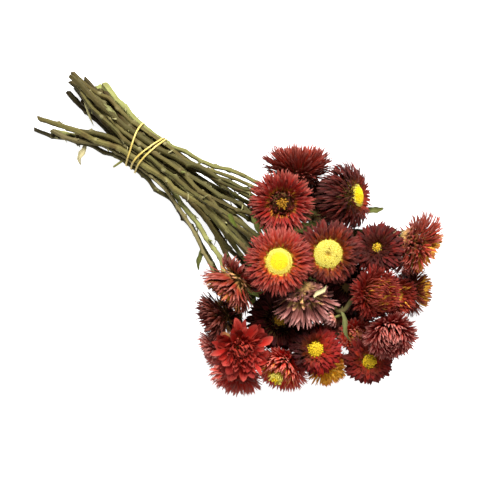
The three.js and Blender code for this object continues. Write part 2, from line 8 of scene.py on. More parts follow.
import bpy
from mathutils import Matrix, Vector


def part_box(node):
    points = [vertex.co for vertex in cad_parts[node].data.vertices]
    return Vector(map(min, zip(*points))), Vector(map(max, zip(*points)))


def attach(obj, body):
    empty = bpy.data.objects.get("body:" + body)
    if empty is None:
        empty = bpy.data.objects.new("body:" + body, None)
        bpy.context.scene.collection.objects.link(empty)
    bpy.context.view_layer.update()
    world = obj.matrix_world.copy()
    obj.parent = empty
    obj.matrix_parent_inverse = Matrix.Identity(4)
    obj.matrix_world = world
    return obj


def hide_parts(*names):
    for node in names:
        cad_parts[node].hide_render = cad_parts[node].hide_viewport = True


bl_info = {
    "name": "Dried Strawflower Bunch",
    "version": (1, 0, 0),
    "blender": (4, 5, 0),
    "location": "View3D > Sidebar > Strawflowers",
    "description": "Builds a tied bunch of dried strawflowers round its frame, and a studio to show it in",
    "category": "Add Mesh",
}

import math
from collections import namedtuple

import bmesh
import bpy
import numpy as np
from bpy.props import FloatProperty, FloatVectorProperty, PointerProperty
from mathutils import Vector

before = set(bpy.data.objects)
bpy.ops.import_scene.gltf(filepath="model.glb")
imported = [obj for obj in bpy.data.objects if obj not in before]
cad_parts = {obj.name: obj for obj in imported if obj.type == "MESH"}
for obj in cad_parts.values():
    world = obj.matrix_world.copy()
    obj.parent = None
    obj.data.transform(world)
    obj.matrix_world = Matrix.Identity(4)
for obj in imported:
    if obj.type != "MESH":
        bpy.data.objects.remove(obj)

MM = 0.001
TURN = 2 * math.pi
GOLDEN = math.pi * (3 - math.sqrt(5))  # the turn from one bract or floret to the next
AHEAD, ACROSS, UP = np.eye(3)  # along the bunch towards its heads, across it, and up
WHITE = (1.0, 1.0, 1.0, 1.0)
# What each random draw starts from, with the bloom's number added where there is one.
BLOOM_SEED, STEM_SEED, DISC_SEED, BUD_SEED = 500, 700, 900, 61

# ---- the blooms' own sizes

# Blooms: (kind, radius in mm, breadth, deep, pale, mauve, warm, heartwood). breadth widens the bracts and
# makes them fewer. deep is how dark the red is, or how bright where it is negative, pale how bleached the
# tips, a paleness that is partly a painted sheen, mauve how far the red has dulled, and warm how far yellow
# and orange reach up from a bract's foot. heartwood turns the innermost bracts dark, or golden where it is
# negative.
BLOOMS = [
    ("half", 26.0, 0.62, 0.14, 0.50, 0.10, 0.10, 0.0),
    ("cup", 22.5, 0.62, 0.32, 0.35, 0.00, 0.30, 0.7),
    ("open", 23.5, 0.52, 0.32, 0.30, 0.00, 0.55, 0.0),
    ("open", 23.0, 0.7, 0.84, 0.12, 0.00, 0.48, 0.0),
    ("domed", 26.0, 0.6, 0.72, 0.12, 0.00, 0.35, 0.0),
    ("parted", 22.5, 0.8, 0.40, 0.55, 0.05, 0.50, -0.4),
    ("parted", 20.0, 0.78, 0.66, 0.40, 0.12, 0.15, 0.0),
    ("broad", 20.0, 1.0, -0.10, 0.18, 0.00, 0.45, 0.1),
    ("half", 15.0, 1.1, -0.60, 1.40, 0.50, 0.20, 0.0),
    ("half", 20.0, 1.0, -1.00, 1.60, 0.25, 0.10, 0.0),
    ("half", 20.0, 0.8, -1.00, 1.60, 0.05, 0.70, -0.3),
    ("cup", 24.0, 1.1, 1.00, 0.00, 0.00, 0.00, 1.0),
    ("parted", 22.0, 0.85, 0.80, 1.00, 0.60, 0.10, 0.0),
    ("open", 18.5, 1.1, 0.70, 0.00, 0.00, 0.25, 0.0),
    ("cone", 17.0, 1.0, -1.00, 0.30, 0.00, 7.00, -1.0),
    ("open", 19.0, 1.2, 0.62, 0.05, 0.00, 0.30, 0.0),
    ("closed", 20.0, 0.85, -0.16, 1.00, 0.35, 0.05, 0.0),
    ("closed", 14.0, 1.1, -1.00, 1.80, 0.00, 1.40, -0.35),
    ("closed", 20.5, 0.52, 0.22, 0.25, 0.00, 0.70, -0.15),
    ("open", 20.0, 0.85, 0.84, 0.05, 0.00, 0.04, 1.0),
    ("fan", 27.0, 0.75, 0.12, 0.80, 0.05, 0.60, -1.0),
    ("cone", 19.5, 0.8, 0.70, 0.20, 0.05, 1.20, -0.8),
    ("half", 16.0, 0.85, 0.45, 0.15, 0.00, 0.60, -0.2),
    ("half", 21.0, 1.4, 1.00, 0.10, 0.15, 0.00, 0.0),
    ("half", 23.0, 1.2, 0.90, 0.15, 0.10, 0.00, 0.0),
    ("half", 22.0, 1.2, 0.80, 0.10, 0.00, 0.20, 0.0),
]
# Blooms painted darker on one side, a painted shade for the side of each that lies in shade: (that
# side's heading in degrees, how much).
SHADED_SIDES = {5: (-145, 0.50), 14: (-160, 0.45), 24: (-20, 0.1)}

# Kinds of bloom. bracts is their number and width their width at a breadth of 1, and inner is the place in
# their order, from 0 for the lowest to 1 for the innermost, at which the heart starts. base is where the
# stem meets the bloom, and middle and half give the centre and half height of the ellipsoid that it fills.
# eye is how far the bracts follow the size of the disc, loose how widely they stray, blunt the power that
# rounds their tips, and slim how much narrower the heart's are. Bracts between the two places of a seam
# are bleached straw, where the bloom parts.
Kind = namedtuple(
    "Kind",
    "bracts width inner guides base middle half eye loose blunt slim seam",
    defaults=(-0.6, 0.02, 0.64, 0.0, 1.0, 4, 0.0, (0, 0)),
)
# A kind's guides: (place in the order, foot radius, foot height, tip radius, tip height, arch). A bract's
# middle line bows by its arch towards the face. The lowest are the small dry scales over the receptacle.
OPEN_SCALES = [
    (0.00, 0.08, -0.52, 0.26, -0.44, -0.02),
    (0.08, 0.14, -0.46, 0.46, -0.46, 0.05),
    (0.13, 0.20, -0.42, 0.70, -0.54, 0.13),
]
LOWEST_SCALE = (0.00, 0.08, -0.57, 0.28, -0.50, -0.02)
KINDS = {
    "open": Kind(380, 0.165, 0.80, base=-0.54, middle=-0.08, half=0.52, eye=1.0, guides=[
        *OPEN_SCALES,
        (0.32, 0.30, -0.24, 0.96, -0.32, 0.12),
        (0.58, 0.38, -0.08, 1.00, 0.03, 0.10),
        (0.82, 0.41, 0.06, 0.82, 0.24, 0.07),
        (1.00, 0.43, 0.12, 0.56, 0.27, 0.03),
    ]),
    "fan": Kind(380, 0.125, 0.74, base=-0.54, middle=-0.08, half=0.52, eye=1.0, guides=[
        *OPEN_SCALES,
        (0.34, 0.30, -0.24, 0.98, -0.28, 0.10),
        (0.58, 0.38, -0.08, 1.00, 0.06, 0.08),
        (0.74, 0.40, 0.02, 0.84, 0.28, 0.04),
        (0.78, 0.40, 0.06, 0.66, 0.38, 0.0),
        (1.00, 0.42, 0.12, 0.50, 0.42, -0.02),
    ]),
    "domed": Kind(380, 0.13, 0.84, base=-0.66, middle=-0.2, half=0.62, eye=1.0, guides=[
        (0.00, 0.08, -0.64, 0.26, -0.56, -0.02),
        (0.08, 0.14, -0.56, 0.48, -0.70, 0.08),
        (0.13, 0.20, -0.50, 0.70, -0.84, 0.20),
        (0.34, 0.34, -0.34, 0.94, -0.52, 0.20),
        (0.60, 0.40, -0.14, 1.00, -0.08, 0.15),
        (0.84, 0.42, 0.04, 0.80, 0.22, 0.08),
        (1.00, 0.43, 0.12, 0.54, 0.26, 0.03),
    ]),
    "half": Kind(370, 0.15, 0.78, guides=[
        LOWEST_SCALE,
        (0.08, 0.14, -0.52, 0.48, -0.50, 0.05),
        (0.13, 0.18, -0.48, 0.74, -0.46, 0.10),
        (0.30, 0.30, -0.32, 0.95, -0.14, 0.06),
        (0.52, 0.34, -0.16, 0.99, 0.22, 0.0),
        (0.78, 0.28, -0.04, 0.74, 0.50, -0.06),
        (1.00, 0.12, 0.04, 0.26, 0.44, -0.08),
    ]),
    "cup": Kind(380, 0.15, 0.85, guides=[
        LOWEST_SCALE,
        (0.08, 0.14, -0.52, 0.48, -0.52, 0.06),
        (0.13, 0.20, -0.46, 0.74, -0.50, 0.12),
        (0.32, 0.30, -0.28, 0.97, -0.26, 0.10),
        (0.58, 0.36, -0.10, 1.00, 0.08, 0.06),
        (0.78, 0.38, 0.04, 0.84, 0.34, 0.02),
        (0.84, 0.37, 0.10, 0.64, 0.40, 0.0),
        (0.86, 0.33, 0.02, 0.42, 0.26, -0.02),
        (1.00, 0.16, -0.02, 0.18, 0.20, 0.0),
    ]),
    "cone": Kind(370, 0.14, 0.70, guides=[
        LOWEST_SCALE,
        (0.08, 0.14, -0.52, 0.50, -0.50, 0.06),
        (0.13, 0.18, -0.46, 0.74, -0.50, 0.10),
        (0.34, 0.28, -0.30, 0.96, -0.26, 0.08),
        (0.58, 0.32, -0.14, 0.98, 0.08, 0.02),
        (0.70, 0.30, -0.04, 0.80, 0.34, -0.04),
        (0.74, 0.30, 0.0, 0.62, 0.50, -0.04),
        (1.00, 0.14, 0.06, 0.34, 0.62, -0.04),
    ]),
    "parted": Kind(340, 0.15, 0.75, loose=1.4, seam=(0.305, 0.405), guides=[
        LOWEST_SCALE,
        (0.08, 0.14, -0.52, 0.44, -0.60, 0.06),
        (0.13, 0.20, -0.50, 0.66, -0.68, 0.12),
        (0.30, 0.30, -0.38, 0.92, -0.62, 0.16),
        (0.31, 0.31, -0.34, 0.64, -0.34, 0.02),
        (0.40, 0.32, -0.28, 0.68, -0.14, 0.02),
        (0.41, 0.33, -0.24, 0.96, 0.12, 0.02),
        (0.60, 0.34, -0.10, 0.97, 0.34, 0.0),
        (0.82, 0.26, 0.0, 0.70, 0.56, -0.06),
        (1.00, 0.12, 0.04, 0.28, 0.46, -0.08),
    ]),
    "broad": Kind(240, 0.27, 0.36, base=-0.55, half=0.58, loose=2.3, blunt=9, slim=0.5, guides=[
        (0.00, 0.10, -0.50, 0.60, -0.44, 0.08),
        (0.14, 0.20, -0.36, 0.92, -0.24, 0.06),
        (0.26, 0.24, -0.20, 1.00, 0.08, 0.02),
        (0.36, 0.18, -0.06, 0.84, 0.30, -0.02),
        (0.42, 0.18, -0.06, 0.60, 0.38, -0.06),
        (1.00, 0.04, 0.0, 0.12, 0.46, -0.08),
    ]),
    "closed": Kind(370, 0.15, 0.72, base=-0.56, middle=0.06, guides=[
        (0.00, 0.08, -0.53, 0.30, -0.46, -0.02),
        (0.08, 0.12, -0.46, 0.52, -0.42, 0.05),
        (0.13, 0.18, -0.42, 0.82, -0.32, 0.08),
        (0.32, 0.30, -0.22, 0.98, 0.06, 0.04),
        (0.54, 0.30, -0.10, 0.87, 0.38, -0.05),
        (0.78, 0.20, 0.0, 0.50, 0.66, -0.12),
        (1.00, 0.06, 0.1, 0.08, 0.68, -0.10),
    ]),
}
# How far a bract strays, in the order in which that is drawn. radius and width are shares of its own, turn
# and twist are in radians, and the others are added to what they are named for.
STRAY = {
    "radius": 0.09, "height": 0.06, "turn": 0.14, "tip": 0.08, "lean": 0.07, "twist": 0.22, "width": 0.22,
    "channel": 0.15,
}
BRACT_STEPS = np.array([0.0, 0.04, 0.28, 0.55, 0.8, 0.94, 1.0])  # places along a bract's length
BRACT_PATTERN = 7.3  # how far apart neighbouring bracts' veins and blotches are taken

# The receptacle's outline under the bracts, from the stem to the top: (radius, share of its height).
RECEPTACLE = np.array([(0.09, 0.0), (0.12, 0.06), (0.18, 0.2), (0.24, 0.42), (0.29, 0.75), (0.28, 1.0)])
RECEPTACLE_SIDES = 16

GAP = 0.3 * MM  # between a bloom and its stem, and between blooms that press on each other
FLOOR_GAP = 0.1 * MM
NEARLY = 3 * MM  # blooms that are further apart than this share no wall
DIRECTION_COUNT = 600  # directions that are tried for a wall
SOFTNESS = 12  # the power with which a wall presses

# Discs, by the bloom's number. radius is the disc's, rim and crown are the heights of its edge and middle,
# and tall is the florets' length, all as shares of the bloom's radius. Florets past pale_from, a share of
# the disc's radius, are pale. specks is how many are withered, dimple how deep the middle sinks, and amber
# how brown they are.
Disc = namedtuple("Disc", "radius rim crown tall pale_from specks dimple amber")
DISCS = {
    2: Disc(0.12, 0.08, 0.15, 0.17, 1.0, 0.0, 0.0, 0.85),
    3: Disc(0.36, 0.16, 0.21, 0.030, 0.62, 0.0, 0.0, 0.0),
    4: Disc(0.40, 0.19, 0.25, 0.030, -0.15, 0.035, 1.0, 0.05),
    5: Disc(0.30, 0.15, 0.26, 0.035, 0.72, 0.0, 0.0, 0.0),
    11: Disc(0.20, 0.41, 0.48, 0.17, 0.45, 0.0, 0.0, 0.25),
    12: Disc(0.13, 0.20, 0.28, 0.06, 1.0, 0.0, 0.0, 0.75),
    14: Disc(0.24, 0.16, 0.27, 0.09, 1.0, 0.0, 0.0, 0.33),
    16: Disc(0.23, 0.16, 0.26, 0.08, 1.0, 0.08, 0.0, 0.4),
    20: Disc(0.13, 0.10, 0.20, 0.09, 1.0, 0.1, 0.0, 0.5),
    21: Disc(0.44, 0.16, 0.34, 0.07, 1.0, 0.05, 0.0, 0.3),
}
EYE = 0.42  # the radius of the disc that the guides leave room for
FLORET = np.array([(0.0, 0.32), (0.55, 0.36), (0.9, 0.5)])  # (share of its length, share of the pitch)
FLORET_SIDES = 5
DOME_SHARES = np.array([1.0, 1.03, 0.97, 0.75, 0.5, 0.25])  # rings of the dome under the florets
DOME_SIDES = 24
# How far the dome's edge lies under the disc's rim, and its top under the florets' feet.
DOME_SKIRT, DOME_SUNK = 0.08, 0.015

# ---- the stems', leaves' and band's own sizes

# A stem node's rings: groups of this many corners that lie within reach of each other, all at one distance
# from their middle, which is between two radii and varies by no more than the spread.
RING_CORNERS = 5
RING_REACH = 2.6 * MM
RING_RADII = (0.9 * MM, 2.1 * MM)
RING_SPREAD = 0.05

STEM_STEP = 1.6 * MM
CURVE_STEPS = 12  # between two rings of the frame
STEM_ANGLES = np.linspace(0, TURN, 14, endpoint=False)
# Lengths along a stem, in millimetres.
KNOT_SPACING = (8, 17)
KNOT_LENGTH = 1.1
NECK = 12  # has no knots
STRAIGHT_NECK = 10
STOUT_RUN = 60  # over which a stout cut end thins out
MOST_KNOTS = 34  # drawn for each stem, of which those short of its neck are kept
TIE_REACH = 16 * MM  # within which the tie holds stems straight
# By the bloom's number: how fast the green fades along a green stem, and how stout a cut end is.
GREEN_STEMS = {25: 2.2, 21: 1.5, 10: 0.3}
STOUT = {25: 0.7, 21: 0.8}

# Leaves, from the tie: (along, across, up in mm, heading, pitch in degrees, length, width in mm, green,
# curl). Each starts on the nearest stem, and the caught ones lie loose where they are. The caught ones of
# green 1.05 are dark leaves put in gaps between the blooms, as painted shade.
LEAVES = [
    (-40, -20, 12, -68, -12, 16, 4.6, -0.2, 1.2),
    (-62, 3, 25, -33, -8, 24, 1.9, 0.4, 0.25),
    (-26, 4, 34, 172, 14, 17, 3.8, 0.8, 0.5),
    (79, -31, 25, -62, -8, 18, 3.8, 1.0, 0.8),
    (86, -6, 44, -25, 50, 16, 3.4, 1.1, 0.6),
    (122, -44, 34, -35, 40, 14, 3.4, 0.7, 0.8),
    (184, -24, 50, -60, 50, 14, 3.6, 0.8, 1.1),
]
CAUGHT_AND_SHADE_LEAVES = [
    (188, -21, 66.5, -36, -4, 21, 3.4, 0.9, 1.0),
    (169.3, -27.6, 85.5, 83, -2, 13, 3.0, -0.1, 1.1),
    (159, 51, 40, 50, 6, 15, 4.6, 1.0, 0.6),
    (180, 44, 52, 47, 6, 15, 3.0, 0.0, 1.2),
    (181, 50, 50, 5, 6, 10, 2.4, 0.3, 1.5),
    # Painted shade: dark leaves put in gaps between the blooms, where there is only shade.
    (124, 11, 30, 54, 4, 22, 7.0, 1.05, 0.3),
    (122, 13, 28, 10, 4, 18, 7.0, 1.05, 0.3),
    (147, -10, 30, 10, 4, 20, 7.0, 1.05, 0.3),
    (119, -42, 26, 20, 4, 22, 6.0, 1.05, 0.3),
    (119, -39, 24, -20, 4, 18, 7.0, 1.05, 0.3),
    (95, 4, 30, -25, 4, 18, 4.0, 1.05, 0.3),
    (153, 29, 34, 40, 4, 20, 6.0, 1.05, 0.3),
]
LEAF_STEPS = np.linspace(0, 1, 12)
SCRAP_STEPS = np.linspace(0, 1, 6)
LEAF_THICKNESS, SCRAP_THICKNESS = 0.45 * MM, 0.3 * MM
LEAF_PATTERN = 3.0  # how far apart the patterns of leaves and of scraps are taken

# Side shoots broken to a stub: (along, across, up in mm, heading, pitch in degrees, length in mm). The one
# with a bud starts where it is given, is a stalk for half its length, and has the bud's radius last.
SHOOTS = [
    (-8, -14, 16, -105, 10, 9),
    (40, 12, 26, 60, 30, 6),
]
BUD = (190.2, -20.5, 62, -118, 12, 14, 6.0)
STALK_SHARE = 0.5
SHOOT_PROFILE = np.array([(0.0, 0.85), (0.3, 0.8), (0.6, 0.74), (0.85, 0.7), (1.0, 0.55)])  # (share, mm)
SHOOT_ANGLES = np.linspace(0, TURN, 8, endpoint=False)
BUD_BRACTS = 26
BUD_WIDTH = 0.4725  # a bract's, as a share of the bud's radius
BUD_PATTERN = 5.1

BAND_BEHIND = 1 * MM  # the band's middle lies this far behind the tie's
BAND_DOUBLES = 0.01 * MM

# The lights: (size, place seen from the point that the camera looks at).
KEY = (0.7, (-0.35, 0.62, 1.15))
FILL = (1.6, (0.9, -0.9, 1.0))
FLOOR_GREY = (0.45, 0.45, 0.45, 1.0)


# ---- what a user would change


def amount(name, description, default, **more):
    return FloatProperty(name=name, description=description, default=default, **more)


def length(name, description, default, **limits):
    return amount(name, description, default, unit="LENGTH", precision=5, **limits)


def colour(name, description, default):
    return FloatVectorProperty(
        name=name, description=description, default=default, subtype="COLOR", size=3, min=0, max=1
    )


class StrawflowerBlooms(bpy.types.PropertyGroup):
    thickness: length("Bract thickness", "Thickness along the middle of a bract", 0.35 * MM, min=0.0001)
    fullness: amount("Fullness", "Bracts in a bloom, as a share of the usual number", 1, min=0.2, max=2)
    red: colour("Red", "Bracts of the freshest blooms", (0.31, 0.012, 0.008))
    deep: colour("Deep red", "Bracts of the darkest blooms", (0.022, 0.0015, 0.0015))
    mauve: colour("Mauve", "Bracts that have dulled", (0.110, 0.026, 0.036))
    # The bleached tip colour is partly real bleaching and partly a painted sheen on the tips.
    pale: colour("Bleached tip", "Tips of bleached bracts", (0.51, 0.185, 0.135))
    lilac: colour("Bleached mauve", "Tips of bleached mauve bracts", (0.50, 0.28, 0.26))
    ember: colour("Orange", "Between a warm bract's foot and its red", (0.56, 0.095, 0.004))
    straw: colour("Straw yellow", "The foot of a warm bract", (0.90, 0.55, 0.05))
    claw: colour("Claw", "The dry foot of a bract, seen from behind", (0.46, 0.28, 0.09))


class StrawflowerFlorets(bpy.types.PropertyGroup):
    pitch: length("Floret pitch", "Spacing of the florets in a disc", 0.95 * MM, min=0.0005)
    core: colour("Core", "Florets in the middle of a disc", (0.78, 0.58, 0.006))
    rim: colour("Rim", "Florets round the edge of a pale disc", (0.62, 0.53, 0.09))
    amber: colour("Amber", "Florets of the discs that have turned brown", (0.34, 0.12, 0.012))
    speck: colour("Speck", "Withered florets", (0.10, 0.035, 0.005))


class StrawflowerStems(bpy.types.PropertyGroup):
    rib: amount("Ribs", "Depth of the ribs, as a share of the radius", 0.12)
    knot: length("Knot height", "How far a leaf scar stands out from the stem", 1.0 * MM, min=0)
    crook: length("Crookedness", "How far a stem strays from its line at a leaf scar", 0.85 * MM, min=0)
    olive: colour("Olive", "Usual colour of the stems", (0.120, 0.095, 0.027))
    brown: colour("Brown", "The brownest stems", (0.058, 0.031, 0.010))
    khaki: colour("Khaki", "The palest stems", (0.230, 0.190, 0.085))
    green: colour("Green", "The greenest stems and leaves", (0.125, 0.140, 0.033))
    straw: colour("Dry straw", "Torn scraps, withered leaves and cut ends", (0.42, 0.37, 0.19))


class StrawflowerBand(bpy.types.PropertyGroup):
    colour: colour("Rubber", "Colour of the rubber band", (0.46, 0.34, 0.08))


class StrawflowerStage(bpy.types.PropertyGroup):
    azimuth: amount("Azimuth", "Turn of the camera round the bunch", math.radians(36), subtype="ANGLE")
    elevation: amount("Elevation", "Camera above the horizon", math.radians(78), subtype="ANGLE")
    distance: length("Distance", "Camera from the point it looks at", 972.2 * MM)
    lens: amount("Lens", "Focal length in millimetres", 100)
    ahead: length("Ahead", "Point looked at, along the bunch from the tie", 110.59 * MM)
    aside: length("Aside", "Point looked at, across the bunch from the tie", -19.13 * MM)
    above: length("Above", "Height of the point looked at", 45 * MM)
    floor: length("Floor size", "Side of the square floor", 12.0)
    glow: amount("Glow", "Light that the floor gives off, as of a light table", 0.9)
    key: amount("Key light", "Power of the key light", 64.0, unit="POWER")
    fill: amount("Fill light", "Power of the fill light", 12.0, unit="POWER")
    sky: amount("Sky", "Strength of the white surroundings", 0.15)


# ---- shader maths


class Value:
    """A number in a material. Its operators add Math nodes."""

    def __init__(self, finish, socket):
        self.finish = finish
        self.socket = socket

    def maths(self, operation, *values):
        return self.finish.node("Math", {"operation": operation}, dict(enumerate(values)))

    def __add__(self, other):
        return self.maths("ADD", self, other)

    __radd__ = __add__

    def __mul__(self, other):
        return self.maths("MULTIPLY", self, other)

    __rmul__ = __mul__

    def __sub__(self, other):
        return self.maths("SUBTRACT", self, other)

    def __rsub__(self, other):
        return self.maths("SUBTRACT", other, self)

    def ramp(self, low, high):
        """Rises smoothly from 0 at low to 1 at high."""
        settings = {"interpolation_type": "SMOOTHSTEP"}
        return self.finish.node("MapRange", settings, {"Value": self, "From Min": low, "From Max": high})


class Finish:
    """A material in the making, round its Principled shader, whose constant sockets are given by name."""

    def __init__(self, name, **constants):
        self.material = bpy.data.materials.new(name)
        self.material.use_nodes = True
        self.tree = self.material.node_tree
        self.shader = self.tree.nodes["Principled BSDF"]
        self.feed(**constants)

    def join(self, value, socket):
        if isinstance(value, Value):
            self.tree.links.new(value.socket, socket)
        else:
            socket.default_value = value

    def node(self, kind, settings, inputs, output=0):
        """One node: its settings are set before its sockets, which take values or links."""
        node = self.tree.nodes.new("ShaderNode" + kind)
        for name, value in settings.items():
            setattr(node, name, value)
        for socket, value in inputs.items():
            self.join(value, node.inputs[socket])
        return Value(self, node.outputs[output])

    def attribute(self, name, output="Vector"):
        return self.node("Attribute", {"attribute_name": name}, {}, output)

    def carried(self, name):
        """A colour that the surface carries."""
        return self.attribute(name, "Color")

    def parts(self, vector):
        node = self.node("SeparateXYZ", {}, {0: vector}).socket.node
        return [Value(self, socket) for socket in node.outputs]

    def product(self, first, second):
        """Two vectors or colours multiplied part by part."""
        return self.node("VectorMath", {"operation": "MULTIPLY"}, {0: first, 1: second})

    def noise(self, place, scale, detail=2.0, roughness=0.5, stretch=None):
        """Noise over the place, which is first multiplied by the stretch."""
        place = self.product(place, stretch) if stretch else place
        inputs = {"Vector": place, "Scale": scale, "Detail": detail, "Roughness": roughness}
        return self.node("TexNoise", {}, inputs)

    def mix(self, share, first, second):
        settings = {"data_type": "RGBA", "blend_type": "MIX"}
        return self.node("Mix", settings, {0: share, 6: first, 7: second}, 2)

    def shade(self, tone, share):
        """A colour multiplied by a grey."""
        return self.product(tone, self.node("CombineXYZ", {}, {0: share, 1: share, 2: share}))

    def bump(self, height, distance):
        return self.node("Bump", {}, {"Height": height, "Distance": distance, "Strength": 1.0})

    def feed(self, **sockets):
        """Sets or links the shader's sockets, and gives the material."""
        for socket, value in sockets.items():
            self.join(value, self.shader.inputs[socket.replace("_", " ")])
        return self.material


def bract_finish():
    """Dry satin paper: the foot's colour runs into the body's and the body's into the tip's, with fine
    veins along the bract, and blotches that darken it."""
    finish = Finish("papery bract", Specular_IOR_Level=0.05)
    course = finish.attribute("course")
    _, along, _ = finish.parts(course)
    veins = finish.noise(course, 1.0, detail=3.0, stretch=(9.0, 0.9, 1.0))
    blotches = finish.noise(course, 1.0, stretch=(1.2, 2.2, 1.0))
    edge = along + 0.22 * (veins - 0.5)
    tone = finish.mix(edge.ramp(0.10, 0.42), finish.carried("foot"), finish.carried("body"))
    tone = finish.mix(edge.ramp(0.62, 1.02), tone, finish.carried("tip"))
    streaked = finish.shade(tone, 0.21 + 1.0 * veins + 0.4 * blotches)
    relief = finish.bump(veins, 0.22 * MM)
    return finish.feed(Base_Color=streaked, Roughness=0.30 + 0.3 * veins, Normal=relief)


def floret_finish():
    """Waxy little tubes, with powdery mottling."""
    finish = Finish("yellow florets", Specular_IOR_Level=0.2)
    mottling = finish.noise(finish.attribute("course"), 2500.0)
    tone = finish.shade(finish.carried("body"), 0.78 + 0.4 * mottling)
    relief = finish.bump(mottling, 0.1 * MM)
    return finish.feed(Base_Color=tone, Roughness=0.5 + 0.3 * mottling, Normal=relief)


def stem_finish():
    """Dry woody skin: fine grooves along the stem, blotches along its length, and pale flecks."""
    finish = Finish("dry stem", Specular_IOR_Level=0.12)
    course = finish.attribute("course")
    grooves = finish.noise(course, 2.2, detail=4.0, roughness=0.6, stretch=(1.0, 1.0, 45.0))
    blotches = finish.noise(course, 1.0, detail=3.0, stretch=(0.25, 0.25, 90.0))
    flecks = finish.noise(course, 3.0, stretch=(1.0, 1.0, 400.0)).ramp(0.62, 0.74)
    tone = finish.mix(blotches.ramp(0.35, 0.7), finish.carried("body"), finish.carried("tip"))
    tone = finish.mix(0.35 * flecks, tone, (0.26, 0.21, 0.08, 1.0))
    grooved = finish.shade(tone, 0.42 + 1.05 * grooves)
    relief = finish.bump(grooves, 0.35 * MM)
    return finish.feed(Base_Color=grooved, Roughness=0.55 + 0.3 * grooves, Normal=relief)


def rubber_finish(tone):
    """Satin rubber that has dulled in patches, with faint stretch marks."""
    finish = Finish("pale rubber", IOR=1.5)
    place = finish.node("TexCoord", {}, {}, "Object")
    patches = finish.noise(place, 120.0)
    marks = finish.noise(place, 1800.0)
    shaded = finish.shade(tuple(tone), 0.8 + 0.35 * patches)
    relief = finish.bump(marks, 0.06 * MM)
    return finish.feed(Base_Color=shaded, Roughness=0.35 + 0.25 * patches, Normal=relief)


# ---- directions and colours


def unit(vectors):
    """The vectors at length 1."""
    return vectors / np.linalg.norm(vectors, axis=-1, keepdims=True)


def toward(heading, pitch):
    """The direction turned round +Z from +X by the heading, and lifted by the pitch, in degrees."""
    turn, lift = math.radians(heading), math.radians(pitch)
    return np.array([math.cos(turn) * math.cos(lift), math.sin(turn) * math.cos(lift), math.sin(lift)])


def axes(heading, pitch):
    """The direction ahead at the heading and pitch, the level one square to it, and their cross product."""
    ahead, side = toward(heading, pitch), toward(heading + 90, 0)
    return ahead, side, np.cross(ahead, side)


def around(angle, side, other):
    """Directions turned by each angle from side towards the other one, which is square to it."""
    return np.cos(angle)[..., None] * side + np.sin(angle)[..., None] * other


def twisted(side, normal, twist):
    """Both directions turned by the twist, from side towards normal."""
    return around(twist, side, normal), around(twist, normal, -side)


def squared(side, along):
    """The side made square to the direction along."""
    return unit(side - along * (side * along).sum(-1, keepdims=True))


def square_to(middle, side):
    """The side at each point of the lines through the points, made square to the line, and the normal."""
    along = unit(np.gradient(middle, axis=-2))
    side = squared(side, along)
    return side, np.cross(along, side)


def blend(share, first, second):
    """Colours between two, at each share."""
    share = np.asarray(share, float)[..., None]
    return (1 - share) * np.asarray(first) + share * np.asarray(second)


def between(value, low, high):
    """The share, from 0 to 1, of the way from low to high."""
    return np.clip((value - low) / (high - low), 0, 1)


# ---- numpy surfaces

SHARP = math.radians(65)
# A blade's section: corners round it as (across, above), with the edges at -1 and 1.
SECTION = np.array([(-1, 0), (-0.45, 1), (0.45, 1), (1, 0), (0.45, -1), (-0.45, -1)])


def linked(name, data):
    """A new object in the scene that holds the data."""
    item = bpy.data.objects.new(name, data)
    bpy.context.scene.collection.objects.link(item)
    return item


def ridden(piece, replaces=()):
    """The piece rides on the bunch's one body, and takes the place of the nodes that it replaces."""
    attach(piece, "root")
    if replaces:
        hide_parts(*replaces)


def ring_faces(rings, corners):
    """Quads between neighbouring rings of corners, counted ring by ring, and triangles that close the
    first ring onto the corner after them all and the last ring onto the one after that."""
    first = np.arange(corners)
    after = (first + 1) % corners
    ring = np.arange(rings - 1)[:, None] * corners
    here, beside = ring + first, ring + after
    quads = np.stack([here, beside, beside + corners, here + corners], -1).reshape(-1, 4)
    last = (rings - 1) * corners
    start = np.stack([after, first, np.full(corners, last + corners)], -1)
    end = np.stack([first + last, after + last, np.full(corners, last + corners + 1)], -1)
    return quads, np.concatenate([start, end])


def closed(rings, ends):
    """The corners of one tube as ring_faces counts them: rings is (rings, corners, 3), with two ends."""
    return np.concatenate([rings.reshape(-1, 3), ends])[None]


def blades(middle, side, normal, half, channel, thickness):
    """Closed thin blades. middle, side and normal are (blades, steps, 3), and half, the half width, is
    (blades, steps), with both ends drawn to a point. A corner lies at half times across along side, and
    along normal at the channel's share of half times across squared, plus half the thickness times
    above."""
    across, above = SECTION.T
    body = slice(1, -1)
    wide = half[:, body, None]
    lift = channel[:, None, None] * wide * across**2 + 0.5 * thickness * above
    rings = (
        middle[:, body, None]
        + side[:, body, None] * (wide * across)[..., None]
        + normal[:, body, None] * lift[..., None]
    )
    count, steps = half.shape
    points = np.concatenate([rings.reshape(count, -1, 3), middle[:, :1], middle[:, -1:]], axis=1)
    return points, *ring_faces(steps - 2, len(SECTION))


def by_corner(along, offsets):
    """The course of blades: across plus each blade's own offset, the place along, and the side, 1 towards
    the face and 0 behind."""
    across, above = SECTION.T
    body = np.stack(np.broadcast_arrays(across, along[1:-1, None], (above + 1) / 2), -1).reshape(-1, 3)
    ends = np.array([(0, along[0], 0.5), (0, along[-1], 0.5)])
    course = np.concatenate([body, ends])[None] + np.zeros((len(offsets), 1, 1))
    course[..., 0] += offsets[:, None]
    return course


